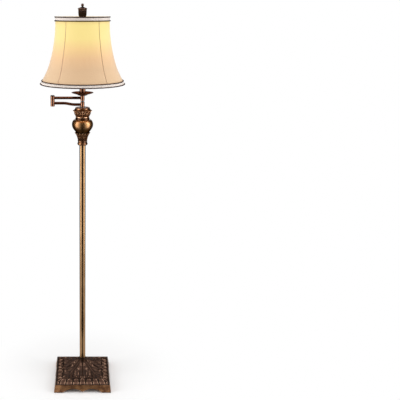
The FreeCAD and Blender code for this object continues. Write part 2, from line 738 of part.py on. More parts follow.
def elbow_lower_barrel():
    """The lower half of the elbow, closed below and bored for the stud above."""
    cavity_floor = ELBOW_LOWER_Z + ELBOW_FLOOR
    cavity_roof = ELBOW_SPLIT_Z - ELBOW_STUD_SEAT
    hole = STUD_RADIUS + FIT
    blank = turned((0, ELBOW_LOWER_Z), [
        straight(BARREL_RADIUS - BARREL_CHAMFER, ELBOW_LOWER_Z),
        straight(BARREL_RADIUS, ELBOW_LOWER_Z + BARREL_CHAMFER),
        straight(BARREL_RADIUS, ELBOW_SPLIT_Z), straight(hole, ELBOW_SPLIT_Z),
        straight(hole, cavity_roof), straight(BARREL_BORE_RADIUS, cavity_roof),
        straight(BARREL_BORE_RADIUS, cavity_floor), straight(0, cavity_floor)])
    return moved(blank.cut(arm_hole(ELBOW_ARM_Z, 1)), ELBOW_X)


def elbow_stud():
    return moved(tube(STUD_RADIUS, PIPE_BORE_RADIUS, ELBOW_SPLIT_Z - ELBOW_STUD_SEAT,
                      stud_top(ELBOW_SPLIT_Z)), ELBOW_X)


def end_barrel():
    """The barrel under the shade, which the upper arm ends in."""
    cavity_floor = END_BARREL_Z + END_BARREL_FLOOR
    cavity_roof = END_BARREL_TOP_Z - END_BARREL_ROOF
    screw_hole = END_SCREW_RADIUS + FIT
    blank = turned((screw_hole, END_BARREL_Z), [
        straight(BARREL_RADIUS - BARREL_CHAMFER, END_BARREL_Z),
        straight(BARREL_RADIUS, END_BARREL_Z + BARREL_CHAMFER),
        straight(BARREL_RADIUS, END_BARREL_TOP_Z), straight(PIPE_HOLE_RADIUS, END_BARREL_TOP_Z),
        straight(PIPE_HOLE_RADIUS, cavity_roof), straight(BARREL_BORE_RADIUS, cavity_roof),
        straight(BARREL_BORE_RADIUS, cavity_floor), straight(screw_hole, cavity_floor)])
    return blank.cut(arm_hole(UPPER_ARM_Z, -1))


def end_barrel_screw():
    """The small screw whose rounded end shows under the end barrel."""
    foot = END_BARREL_Z - END_SCREW_PROUD
    round_z = foot + END_SCREW_RADIUS / 2
    top = END_BARREL_Z + END_BARREL_FLOOR + END_SCREW_TAIL
    return turned((0, foot), [
        curved(END_SCREW_RADIUS * 3 / 4, foot + END_SCREW_RADIUS / 6, END_SCREW_RADIUS, round_z),
        straight(END_SCREW_RADIUS, top), straight(0, top)])


# Arms

def lower_arm_points():
    """The lower arm rises from the pole's joint to the elbow in an S."""
    first_x = -ARM_LENGTH * LOWER_ARM_BEND_SHARES[0]
    second_x = -ARM_LENGTH * LOWER_ARM_BEND_SHARES[1]
    return [vec(-TUBE_END, 0, LOWER_ARM_Z), vec(first_x, 0, LOWER_ARM_Z),
            vec(second_x, 0, ELBOW_ARM_Z), vec(ELBOW_X + TUBE_END, 0, ELBOW_ARM_Z)]


def lower_arm_tube():
    points = lower_arm_points()
    return bent_rod(points, ARM_TUBE_RADIUS).cut(bent_rod(points, ARM_TUBE_RADIUS - ARM_TUBE_WALL))


def upper_arm_tube():
    length = ARM_LENGTH - 2 * TUBE_END
    start = vec(ELBOW_X + TUBE_END, 0, UPPER_ARM_Z)
    bore = ARM_TUBE_RADIUS - ARM_TUBE_WALL
    return crossways(ARM_TUBE_RADIUS, start, length).cut(crossways(bore, start, length))


def lower_arm_lead():
    """The lead from the first stud, along the lower arm and up through the elbow."""
    turn = (BARREL_BORE_RADIUS - LEAD_RADIUS) / RUN_SHARE
    points = [vec(0, 0, stud_top(FRICTION_Z)), vec(0, 0, LOWER_ARM_Z), vec(-turn, 0, LOWER_ARM_Z)]
    points += lower_arm_points()[1:-1]
    points += [vec(ELBOW_X + turn, 0, ELBOW_ARM_Z), vec(ELBOW_X, 0, ELBOW_ARM_Z),
               vec(ELBOW_X, 0, stud_top(ELBOW_SPLIT_Z))]
    return bent_rod(points, LEAD_RADIUS)


def upper_arm_lead():
    """The lead from the elbow, along the upper arm and up to the lamp socket."""
    turn = (BARREL_BORE_RADIUS - LEAD_RADIUS) / RUN_SHARE
    points = [vec(ELBOW_X, 0, stud_top(ELBOW_SPLIT_Z)), vec(ELBOW_X, 0, UPPER_ARM_Z),
              vec(ELBOW_X + turn, 0, UPPER_ARM_Z), vec(-turn, 0, UPPER_ARM_Z),
              vec(0, 0, UPPER_ARM_Z), vec(0, 0, UPPER_ARM_Z + turn), vec(0, 0, CORE_Z)]
    return bent_rod(points, LEAD_RADIUS)


# Drip pan and socket cover

def end_nipple():
    return tube(PIPE_RADIUS, PIPE_BORE_RADIUS, END_BARREL_TOP_Z - END_BARREL_ROOF,
                SOCKET_Z + SOCKET_WALL + NIPPLE_REACH)


def pan_cup():
    """The small stepped cup that the drip pan sits on."""
    edge_z = PAN_Z - PAN_CUP_EDGE
    return turned((PIPE_HOLE_RADIUS, END_BARREL_TOP_Z), [
        straight(PAN_CUP_FOOT_RADIUS, END_BARREL_TOP_Z),
        curved((PAN_CUP_FOOT_RADIUS + 2 * PAN_CUP_RADIUS) / 3, (END_BARREL_TOP_Z + edge_z) / 2,
               PAN_CUP_RADIUS, edge_z),
        straight(PAN_CUP_RADIUS, PAN_Z), straight(PIPE_HOLE_RADIUS, PAN_Z)])


def drip_pan():
    """A shallow pressed saucer under the shade."""
    rim_z = PAN_Z + PAN_RISE
    middle_radius = (PAN_FLAT_RADIUS + PAN_RADIUS) / 2
    middle_z = PAN_Z + PAN_RISE / 2 - PAN_SAG
    return turned((PIPE_HOLE_RADIUS, PAN_Z), [
        straight(PAN_FLAT_RADIUS, PAN_Z),
        curved(middle_radius, middle_z, PAN_RADIUS, rim_z),
        straight(PAN_RADIUS - PAN_THICK / 2, rim_z + PAN_THICK),
        curved(middle_radius, middle_z + PAN_THICK, PAN_FLAT_RADIUS, PAN_Z + PAN_THICK),
        straight(PIPE_HOLE_RADIUS, PAN_Z + PAN_THICK)])


def socket_cover():
    """The tube between the drip pan and the harp saddle, closed at its top."""
    bore = COVER_RADIUS - COVER_WALL
    roof = COVER_TOP_Z - COVER_WALL
    return turned((bore, COVER_Z), [
        straight(COVER_RADIUS, COVER_Z), straight(COVER_RADIUS, COVER_TOP_Z),
        straight(PIPE_HOLE_RADIUS, COVER_TOP_Z), straight(PIPE_HOLE_RADIUS, roof),
        straight(bore, roof)])


# Harp

def harp_saddle():
    """A strip across the lamp with an upright lug at each end."""
    half_width = SADDLE_WIDTH / 2
    lug_top = SADDLE_Z + SADDLE_LUG_HEIGHT
    strip = box(-half_width, half_width, -SADDLE_HALF_LENGTH, SADDLE_HALF_LENGTH, SADDLE_Z, SOCKET_Z)
    for side in (-1, 1):
        y_pair = sorted((side * SADDLE_HALF_LENGTH, side * (SADDLE_HALF_LENGTH - SADDLE_THICK)))
        strip = strip.fuse(box(-half_width, half_width, *y_pair, SADDLE_Z, lug_top))
    hole = rod(PIPE_HOLE_RADIUS, SADDLE_Z - OVERRUN, SOCKET_Z + OVERRUN)
    return strip.cut(hole).removeSplitter()


def harp():
    """The wire bow over the bulb."""
    crown_z = HARP_TOP_Z - HARP_WIRE_RADIUS
    height = crown_z - HARP_FOOT_Z
    foot_share, belly_share, chest_share, shoulder_share = HARP_HEIGHT_SHARES
    half = [vec(0, HARP_FOOT_Y, HARP_FOOT_Z), vec(0, HARP_FOOT_Y, HARP_FOOT_Z + height * foot_share),
            vec(0, HARP_BELLY_Y, HARP_FOOT_Z + height * belly_share),
            vec(0, HARP_BELLY_Y, HARP_FOOT_Z + height * chest_share),
            vec(0, HARP_SHOULDER_Y, HARP_FOOT_Z + height * shoulder_share),
            vec(0, HARP_CROWN_Y, crown_z)]
    other = [vec(0, -corner.y, corner.z) for corner in reversed(half)]
    return bent_rod(half + other, HARP_WIRE_RADIUS)


def harp_sleeves():
    """The sleeves that lock the harp's feet to the saddle's lugs."""
    sleeves = []
    for side in (-1, 1):
        sleeve = tube(SLEEVE_RADIUS, HARP_WIRE_RADIUS + FIT, HARP_FOOT_Z - FIT,
                      HARP_FOOT_Z - FIT + SLEEVE_LENGTH)
        sleeves.append(moved(sleeve, 0, side * HARP_FOOT_Y))
    return Part.makeCompound(sleeves)


def harp_stud():
    """The disc and threaded stud on the harp's crown."""
    disc = rod(HARP_DISC_RADIUS, HARP_TOP_Z, HARP_TOP_Z + HARP_DISC_THICK)
    return disc.fuse(rod(HARP_STUD_RADIUS, HARP_TOP_Z, HARP_TOP_Z + HARP_STUD_LENGTH))


# Lamp socket, knob and bulb

def knob_hole(radius):
    """The cutter for the knob's shaft, from the core outwards."""
    return crossways(radius, vec(SOCKET_RADIUS - OVERRUN, 0, KNOB_Z), 2 * OVERRUN)


def socket_cap():
    """The cup that the socket's shell snaps into."""
    wall = SOCKET_WALL
    shoulder_z = SOCKET_Z + SOCKET_CAP_HEIGHT * 2 / 3
    inner_foot = SOCKET_CAP_FOOT_RADIUS - wall
    blank = turned((PIPE_HOLE_RADIUS, SOCKET_Z), [
        straight(SOCKET_CAP_FOOT_RADIUS, SOCKET_Z), straight(SOCKET_RADIUS, shoulder_z),
        straight(SOCKET_RADIUS, SHELL_Z), straight(SOCKET_RADIUS - wall, SHELL_Z),
        straight(SOCKET_RADIUS - wall, shoulder_z + wall), straight(inner_foot, SOCKET_Z + wall),
        straight(PIPE_HOLE_RADIUS, SOCKET_Z + wall)])
    return blank.cut(knob_hole(KNOB_SHAFT_HOLE_RADIUS))


def socket_shell():
    shell = tube(SOCKET_RADIUS, SOCKET_RADIUS - SOCKET_WALL, SHELL_Z, SHELL_Z + SOCKET_SHELL_HEIGHT)
    return shell.cut(knob_hole(KNOB_SHAFT_HOLE_RADIUS))


def socket_sleeve():
    """The paper sleeve between the shell and the core."""
    outer = SOCKET_RADIUS - SOCKET_WALL - FIT
    top = SHELL_Z + SOCKET_SHELL_HEIGHT + SLEEVE_PROUD
    sleeve = tube(outer, outer - SLEEVE_WALL, SHELL_Z, top)
    return sleeve.cut(knob_hole(KNOB_SHAFT_HOLE_RADIUS))


def socket_core():
    """The moulded core with its lamp thread, its contact and the knob's bore."""
    top = CORE_Z + SOCKET_CORE_HEIGHT
    floor = CORE_Z + SOCKET_CORE_FLOOR
    taper = floor - SOCKET_CORE_FLOOR / 2
    thread = BULB_SCREW_RADIUS + LOOSE
    waist = SOCKET_CAP_FOOT_RADIUS
    blank = turned((0, CORE_Z), [
        straight(waist, CORE_Z), straight(CORE_RADIUS, taper), straight(CORE_RADIUS, top),
        straight(thread, top), straight(thread, floor), straight(CONTACT_RADIUS, floor),
        straight(CONTACT_RADIUS, floor + CONTACT_HEIGHT), straight(0, floor + CONTACT_HEIGHT)])
    start = vec(CORE_RADIUS - KNOB_SHAFT_DEPTH - FIT, 0, KNOB_Z)
    return blank.cut(crossways(KNOB_SHAFT_RADIUS + FIT, start, KNOB_SHAFT_DEPTH + OVERRUN))


def switch_knob():
    """The turn knob and its shaft, which lie along +X."""
    shaft_start = CORE_RADIUS - KNOB_SHAFT_DEPTH
    knob_start = SOCKET_RADIUS + KNOB_STANDOFF
    shaft = crossways(KNOB_SHAFT_RADIUS, vec(shaft_start, 0, KNOB_Z), knob_start - shaft_start)
    head = Part.makeCylinder(KNOB_RADIUS, KNOB_LENGTH - KNOB_CROWN, vec(knob_start, 0, KNOB_Z), ALONG_X)
    crown = Part.makeCone(KNOB_RADIUS, KNOB_RADIUS - KNOB_CROWN, KNOB_CROWN,
                          vec(knob_start + KNOB_LENGTH - KNOB_CROWN, 0, KNOB_Z), ALONG_X)
    return shaft.fuse(head).fuse(crown).removeSplitter()


def bulb_screw():
    """The bulb's metal base with its end contact."""
    shoulder = BULB_Z + BULB_TIP_LENGTH
    top = shoulder + BULB_SCREW_LENGTH
    return turned((0, BULB_Z), [
        straight(CONTACT_RADIUS, BULB_Z), straight(BULB_TIP_RADIUS, shoulder),
        straight(BULB_SCREW_RADIUS, shoulder + BULB_TIP_LENGTH), straight(BULB_SCREW_RADIUS, top),
        straight(0, top)])


def bulb_housing():
    """The white body that flares from the screw base to the globe."""
    low = BULB_Z + BULB_TIP_LENGTH + BULB_SCREW_LENGTH
    high = low + BULB_NECK_LENGTH
    flare_z = low + BULB_STRAIGHT_LENGTH
    return turned((0, low), [
        straight(BULB_NECK_RADIUS, low), straight(BULB_NECK_RADIUS, flare_z),
        curved(BULB_WAIST_RADIUS, (flare_z + high) / 2, globe_edge(), high),
        straight(0, high)])


def globe_edge():
    """The globe's radius where it meets the housing."""
    return BULB_RADIUS * math.sqrt(1 - GLOBE_RISE_SHARE ** 2)


def bulb_globe():
    """The frosted globe, a ball cut flat on the housing."""
    low = BULB_Z + BULB_TIP_LENGTH + BULB_SCREW_LENGTH + BULB_NECK_LENGTH
    centre = low + BULB_RADIUS * GLOBE_RISE_SHARE
    return turned((0, low), [
        straight(globe_edge(), low), curved(BULB_RADIUS, centre, 0, centre + BULB_RADIUS)])


# Shade

def shade_curve(offset):
    """The shade's bell line, stood off from its outer face."""
    flare = SHADE_BOTTOM_RADIUS - SHADE_TOP_RADIUS
    points = []
    for down_share, flare_share in SHADE_FLARE_SHARES:
        radius = SHADE_TOP_RADIUS + flare * flare_share + offset
        points.append(level(radius, SHADE_TOP_Z - SHADE_HEIGHT * down_share))
    curve = Part.BSplineCurve()
    curve.interpolate(points)
    return curve


def shade_radius(height):
    """The shade's outer radius at a height, found by halving along the bell line."""
    curve = shade_curve(0)
    low = curve.FirstParameter
    high = curve.LastParameter
    for _ in range(RADIUS_STEPS):
        middle = (low + high) / 2
        if curve.value(middle).z > height:
            low = middle
        else:
            high = middle
    return curve.value(low).x


def shade_strip(inner, outer):
    """A thin face between two lines stood off from the shade."""
    near = shade_curve(inner)
    far = shade_curve(outer)
    edges = [near.toShape(), Part.makeLine(near.EndPoint, far.EndPoint), far.toShape(),
             Part.makeLine(far.StartPoint, near.StartPoint)]
    return Part.Face(Part.Wire(Part.__sortEdges__(edges)))


def shade_sector(inner, outer, middle_angle, width_angle):
    """Part of a shell round the shade, centred on an angle in degrees."""
    face = shade_strip(inner, outer)
    face.rotate(ORIGIN, UP, middle_angle - width_angle / 2)
    return face.revolve(ORIGIN, UP, width_angle)


def seam_angles():
    """The seams stand evenly, with a whole panel facing the front."""
    pitch = 360 / SHADE_PANELS
    return [FRONT_ANGLE + pitch * (index + 0.5) for index in range(SHADE_PANELS)]


def arc_degrees(width, radius):
    return math.degrees(width / radius)


def slab(low, high):
    return rod(SHADE_BOTTOM_RADIUS + OVERRUN, low, high)


def shade_panels():
    """The fabric panels, each a thin closed shell between two seams."""
    pitch = 360 / SHADE_PANELS
    width = pitch - arc_degrees(PANEL_GAP, SHADE_BOTTOM_RADIUS)
    return Part.makeCompound([shade_sector(-PANEL_THICK, 0, angle + pitch / 2, width)
                              for angle in seam_angles()])


def band_edges():
    """The low and high edge of the bottom band and of the top band."""
    return ((SHADE_Z, SHADE_Z + BOTTOM_BAND_WIDTH), (SHADE_TOP_Z - TOP_BAND_WIDTH, SHADE_TOP_Z))


def shade_bands():
    """The ribbons round the top and bottom of the shade, between their pipings."""
    shell = shade_strip(TRIM_GAP, TRIM_GAP + BAND_THICK).revolve(ORIGIN, UP, 360)
    clear = 2 * PIPING_RADIUS + TRIM_GAP
    return Part.makeCompound([shell.common(slab(low + clear, high - clear))
                              for low, high in band_edges()])


def shade_piping():
    """The round piping along both edges of both bands."""
    rings = []
    for low, high in band_edges():
        for height in (low + PIPING_RADIUS, high - PIPING_RADIUS):
            radius = max(shade_radius(height + PIPING_RADIUS), shade_radius(height - PIPING_RADIUS))
            ring = Part.makeTorus(radius + PIPING_RADIUS + TRIM_GAP, PIPING_RADIUS)
            rings.append(moved(ring, 0, 0, height))
    return Part.makeCompound(rings)


def shade_seam_piping():
    """The flat cord over each seam, between the two bands."""
    width = arc_degrees(SEAM_PIPING_WIDTH, SHADE_TOP_RADIUS)
    (_, low), (high, _) = band_edges()
    between = slab(low + TRIM_GAP, high - TRIM_GAP)
    return Part.makeCompound([shade_sector(TRIM_GAP, TRIM_GAP + SEAM_PIPING_THICK, angle, width)
                              .common(between) for angle in seam_angles()])


def ring_radius(height):
    """Where a ring's wire stands clear of the panels, whose slope pushes it further in."""
    low_radius = shade_radius(height - RING_WIRE_RADIUS)
    slope = (low_radius - shade_radius(height + RING_WIRE_RADIUS)) / (2 * RING_WIRE_RADIUS)
    return shade_radius(height) - PANEL_THICK - (RING_INSET + RING_WIRE_RADIUS) * math.hypot(1, slope)


TOP_RING_Z = SHADE_TOP_Z - RING_WIRE_RADIUS - LOOSE
BOTTOM_RING_Z = SHADE_Z + RING_WIRE_RADIUS + LOOSE


def shade_ribs():
    """The bottom ring of the wire frame with a rib up each seam."""
    solid = moved(Part.makeTorus(ring_radius(BOTTOM_RING_Z), RING_WIRE_RADIUS), 0, 0, BOTTOM_RING_Z)
    outer = -PANEL_THICK - LOOSE
    width = arc_degrees(RIB_WIDTH, SHADE_BOTTOM_RADIUS)
    between = slab(BOTTOM_RING_Z - RING_WIRE_RADIUS / 2, TOP_RING_Z - RING_WIRE_RADIUS - LOOSE)
    for angle in seam_angles():
        solid = solid.fuse(shade_sector(outer - RIB_THICK, outer, angle, width).common(between))
    return solid


def shade_spider():
    """The top ring with three arms that carry it on the harp."""
    reach = ring_radius(TOP_RING_Z)
    washer_middle = WASHER_Z + SPIDER_WASHER_THICK / 2
    solid = moved(Part.makeTorus(reach, RING_WIRE_RADIUS), 0, 0, TOP_RING_Z)
    solid = solid.fuse(rod(SPIDER_WASHER_RADIUS, WASHER_Z, WASHER_Z + SPIDER_WASHER_THICK))
    hub = SPIDER_WASHER_RADIUS - SPIDER_ARM_RADIUS
    for index in range(SPIDER_ARMS):
        angle = 2 * math.pi * (index + 0.25) / SPIDER_ARMS
        start = vec(hub * math.cos(angle), hub * math.sin(angle), washer_middle)
        end = vec(reach * math.cos(angle), reach * math.sin(angle), TOP_RING_Z)
        solid = solid.fuse(Part.makeCylinder(SPIDER_ARM_RADIUS, (end - start).Length, start, end - start))
    return solid.cut(rod(HARP_STUD_RADIUS + LOOSE, WASHER_Z - OVERRUN, WASHER_Z + OVERRUN))


def finial():
    """The turned finial that screws onto the harp's stud."""
    bore = HARP_STUD_RADIUS + FIT
    cup_foot = FINIAL_Z + FINIAL_CUP_FOOT_HEIGHT
    cup_top = FINIAL_Z + FINIAL_CUP_HEIGHT
    brim_top = cup_top + FINIAL_BRIM_HEIGHT
    roof_top = brim_top + FINIAL_ROOF_HEIGHT
    neck_top = roof_top + FINIAL_NECK_HEIGHT
    ball_z = neck_top + math.sqrt(FINIAL_BALL_RADIUS ** 2 - FINIAL_NECK_RADIUS ** 2)
    bore_top = FINIAL_Z + FINIAL_BORE_DEPTH
    brim_edge = (FINIAL_BRIM_RADIUS + FINIAL_CUP_RADIUS) / 2
    return turned((bore, FINIAL_Z), [
        straight(FINIAL_FOOT_RADIUS, FINIAL_Z),
        straight(FINIAL_FOOT_RADIUS, FINIAL_Z + FINIAL_FOOT_HEIGHT),
        straight(FINIAL_CUP_FOOT_RADIUS, cup_foot),
        curved((FINIAL_CUP_FOOT_RADIUS + 2 * FINIAL_CUP_RADIUS) / 3, (cup_foot + cup_top) / 2,
               FINIAL_CUP_RADIUS, cup_top),
        curved(FINIAL_BRIM_RADIUS, cup_top + FINIAL_BRIM_HEIGHT / 2, brim_edge, brim_top),
        curved(FINIAL_BRIM_RADIUS / 2, brim_top + FINIAL_ROOF_HEIGHT / 3, FINIAL_NECK_RADIUS, roof_top),
        straight(FINIAL_NECK_RADIUS, neck_top),
        curved(FINIAL_BALL_RADIUS, ball_z, 0, ball_z + FINIAL_BALL_RADIUS),
        straight(0, bore_top), straight(bore, bore_top)])


def all_nodes():
    """Every sub-part of the lamp by its name."""
    return {
        "felt_feet": felt_feet(),
        "base_casting": base_casting(),
        "base_weight": base_weight(),
        "weight_clamp_washer": weight_clamp_washer(),
        "base_lock_nut": base_lock_nut(),
        "base_nipple": base_nipple(),
        "cord_inlet_bushing": cord_inlet_bushing(),
        "pole_foot_collar": pole_foot_collar(),
        "lower_pole": pole_section(0),
        "middle_pole": pole_section(1),
        "upper_pole": pole_section(2),
        "pole_inserts": pole_inserts(),
        "pole_lead": pole_lead(),
        "urn_foot_ring": urn_foot_ring(),
        "acanthus_cup": acanthus_cup(),
        "urn_bowl": urn_bowl(),
        "urn_neck_ring": urn_neck_ring(),
        "leaf_collar": leaf_collar(),
        "urn_cap": urn_cap(),
        "urn_center_pipe": urn_center_pipe(),
        "pivot_stud": pivot_stud(),
        "pivot_retainer": retainer(FRICTION_Z),
        "pivot_friction_washer": friction_washer(FRICTION_Z),
        "lower_pivot_barrel": turning_barrel(PIVOT_BARREL_Z, PIVOT_CAP_Z, LOWER_ARM_Z, -1),
        "pivot_cap": barrel_cap(PIVOT_CAP_Z),
        "lower_arm_tube": lower_arm_tube(),
        "lower_arm_lead": lower_arm_lead(),
        "elbow_lower_barrel": elbow_lower_barrel(),
        "elbow_stud": elbow_stud(),
        "elbow_retainer": moved(retainer(ELBOW_SPLIT_Z), ELBOW_X),
        "elbow_friction_washer": moved(friction_washer(ELBOW_SPLIT_Z), ELBOW_X),
        "elbow_upper_barrel": moved(turning_barrel(ELBOW_UPPER_Z, ELBOW_CAP_Z, UPPER_ARM_Z, 1), ELBOW_X),
        "elbow_cap": moved(barrel_cap(ELBOW_CAP_Z), ELBOW_X),
        "upper_arm_tube": upper_arm_tube(),
        "upper_arm_lead": upper_arm_lead(),
        "end_barrel": end_barrel(),
        "end_barrel_screw": end_barrel_screw(),
        "end_nipple": end_nipple(),
        "pan_cup": pan_cup(),
        "drip_pan": drip_pan(),
        "socket_cover": socket_cover(),
        "harp_saddle": harp_saddle(),
        "harp": harp(),
        "harp_sleeves": harp_sleeves(),
        "harp_stud": harp_stud(),
        "socket_cap": socket_cap(),
        "socket_shell": socket_shell(),
        "socket_sleeve": socket_sleeve(),
        "socket_core": socket_core(),
        "switch_knob": switch_knob(),
        "bulb_screw": bulb_screw(),
        "bulb_housing": bulb_housing(),
        "bulb_globe": bulb_globe(),
        "shade_panels": shade_panels(),
        "shade_bands": shade_bands(),
        "shade_piping": shade_piping(),
        "shade_seam_piping": shade_seam_piping(),
        "shade_ribs": shade_ribs(),
        "shade_spider": shade_spider(),
        "finial": finial(),
    }


def main():
    os.makedirs("parts", exist_ok=True)
    for name, shape in all_nodes().items():
        box_size = shape.BoundBox
        print(name, len(shape.Solids), "solids, volume", round(shape.Volume), "valid", shape.isValid(),
              "z", round(box_size.ZMin, 1), round(box_size.ZMax, 1))
        shape.exportStep("parts/" + name + ".step")


main()
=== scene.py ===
"""Dresses the swing arm floor lamp: carved base, pole, urn, swing arms, bell shade and finial."""

import logging
import math
from dataclasses import dataclass
from enum import Enum
from typing import Callable, Sequence

import bmesh
import bpy
from mathutils import Matrix, Vector


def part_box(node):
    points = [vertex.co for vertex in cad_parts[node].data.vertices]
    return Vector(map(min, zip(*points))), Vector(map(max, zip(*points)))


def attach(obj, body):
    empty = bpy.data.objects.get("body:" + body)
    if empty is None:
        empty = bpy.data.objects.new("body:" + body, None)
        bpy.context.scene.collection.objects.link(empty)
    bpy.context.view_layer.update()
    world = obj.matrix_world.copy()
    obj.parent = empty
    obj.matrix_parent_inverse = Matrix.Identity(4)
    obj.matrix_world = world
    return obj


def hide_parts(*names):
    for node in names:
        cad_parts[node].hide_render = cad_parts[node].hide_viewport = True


LOG = logging.getLogger("floor_lamp")
MM = 0.001
FULL_TURN = 2 * math.pi
MERGE_GAP = 0.001
SHARP_ANGLE = math.radians(38)
EDGE_TINT = (0.3, 0.24, 0.2, 1.0)
WHITE = (1.0, 1.0, 1.0, 1.0)

Material = bpy.types.Material
Mesh = bmesh.types.BMesh
Colour = tuple[float, float, float, float]
# Both hold radii and heights, in millimetres unless a docstring says otherwise.
Line = tuple[tuple[float, float], ...]
Outline = list[tuple[float, float]]

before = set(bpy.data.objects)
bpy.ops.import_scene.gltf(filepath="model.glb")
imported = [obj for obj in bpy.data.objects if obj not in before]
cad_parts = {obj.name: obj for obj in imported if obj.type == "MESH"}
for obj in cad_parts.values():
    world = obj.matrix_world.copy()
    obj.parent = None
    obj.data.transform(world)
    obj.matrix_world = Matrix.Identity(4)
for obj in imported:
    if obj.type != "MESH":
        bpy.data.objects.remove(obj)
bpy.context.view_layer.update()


def srgb(red: int, green: int, blue: int) -> Colour:
    """A colour as the eye reads it, turned into the light values that shaders use.

    Args:
        red: 0 to 255.
        green: 0 to 255.
        blue: 0 to 255.

    Returns:
        The linear colour, with full alpha.
    """
    parts = []
    for part in (red, green, blue):
        share = part / 255
        parts.append(share / 12.92 if share <= 0.04045 else ((share + 0.055) / 1.055) ** 2.4)
    return (*parts, 1.0)


def ease(value: float, low: float, high: float) -> float:
    """A smooth step from 0 at low to 1 at high.

    Args:
        value: where on the way it is.
        low: where the step starts.
        high: where the step ends.

    Returns:
        A share from 0 to 1.
    """
    share = min(1.0, max(0.0, (value - low) / (high - low)))
    return share * share * (3 - 2 * share)


def bell(value: float, middle: float, width: float) -> float:
    """A bell curve of height 1 round a middle value."""
    return math.exp(-((value - middle) / width) ** 2)


def darker(colour: Colour, share: float) -> Colour:
    """A share of a colour's light, with full alpha."""
    return (*(part * share for part in colour[:3]), 1.0)


def off_middle(turns: float) -> float:
    """How far a number is from the nearest whole one, from -0.5 to 0.5."""
    return turns - round(turns)


def from_front(spot: Vector) -> float:
    """How far round from the lamp's front a point stands, in radians."""
    return math.atan2(spot.y, spot.x) + math.pi / 2


def lifted(line: Sequence[tuple[float, float]], foot: float) -> Outline:
    """Puts a line whose heights start from a foot at that foot's height."""
    return [(radius, foot + height) for radius, height in line]


def value_along(line: Sequence[tuple[float, float]], place: float, beyond: float) -> float:
    """Reads a value off a line, such as an outline's radius at a height.

    Args:
        line: values and their places, by rising place.
        place: where to read.
        beyond: the value before and after the line.

    Returns:
        The value there.
    """
    for (low_value, low), (high_value, high) in zip(line, line[1:]):
        if low <= place <= high and high > low:
            return low_value + (high_value - low_value) * (place - low) / (high - low)
    return beyond


def smooth_line(points: Sequence[tuple[float, float]], steps: int) -> Outline:
    """A smooth line through a few points, without its last one.

    Args:
        points: radii and heights, in millimetres.
        steps: how many points each span gets.

    Returns:
        The denser line.
    """
    line = []
    for index in range(len(points) - 1):
        before = points[max(index - 1, 0)]
        start, end = points[index], points[index + 1]
        after = points[min(index + 2, len(points) - 1)]
        for step in range(steps):
            share = step / steps
            line.append(tuple(spline_value(before[axis], start[axis], end[axis], after[axis], share)
                              for axis in (0, 1)))
    return line


def spline_value(before: float, start: float, end: float, after: float, share: float) -> float:
    """One value on a smooth span between two points.

    Args:
        before: the value at the point before the span.
        start: the value at its start.
        end: the value at its end.
        after: the value at the point after it.
        share: how far along the span, from 0 to 1.

    Returns:
        The value, on a Catmull-Rom curve.
    """
    slope_in = (end - before) / 2
    slope_out = (after - start) / 2
    square = share * share
    cube = square * share
    return ((2 * cube - 3 * square + 1) * start + (cube - 2 * square + share) * slope_in
            + (3 * square - 2 * cube) * end + (cube - square) * slope_out)


class Sock:
    """A shader value that takes part in Python sums and adds its Math nodes."""

    def __init__(self, graph: "Graph", socket: bpy.types.NodeSocket) -> None:
        """Wraps an output socket of a graph."""
        self.graph = graph
        self.socket = socket

    def _sum(self, operation: str, first: "Sock | float", second: "Sock | float") -> "Sock":
        """Adds one Math node."""
        return self.graph.node("ShaderNodeMath", {"operation": operation}, {0: first, 1: second})

    def __add__(self, other: "Sock | float") -> "Sock":
        """self + other"""
        return self._sum("ADD", self, other)

    def __radd__(self, other: float) -> "Sock":
        """other + self"""
        return self._sum("ADD", other, self)

    def __sub__(self, other: "Sock | float") -> "Sock":
        """self - other"""
        return self._sum("SUBTRACT", self, other)

    def __rsub__(self, other: float) -> "Sock":
        """other - self"""
        return self._sum("SUBTRACT", other, self)

    def __mul__(self, other: "Sock | float") -> "Sock":
        """self * other"""
        return self._sum("MULTIPLY", self, other)

    def __rmul__(self, other: float) -> "Sock":
        """other * self"""
        return self._sum("MULTIPLY", other, self)

    def __truediv__(self, other: "Sock | float") -> "Sock":
        """self / other"""
        return self._sum("DIVIDE", self, other)

    def __pow__(self, other: float) -> "Sock":
        """self ** other"""
        return self._sum("POWER", self, other)


class GraphKind(Enum):
    """What a graph shades, by the node that it ends in."""

    MATERIAL = "ShaderNodeOutputMaterial"
    WORLD = "ShaderNodeOutputWorld"


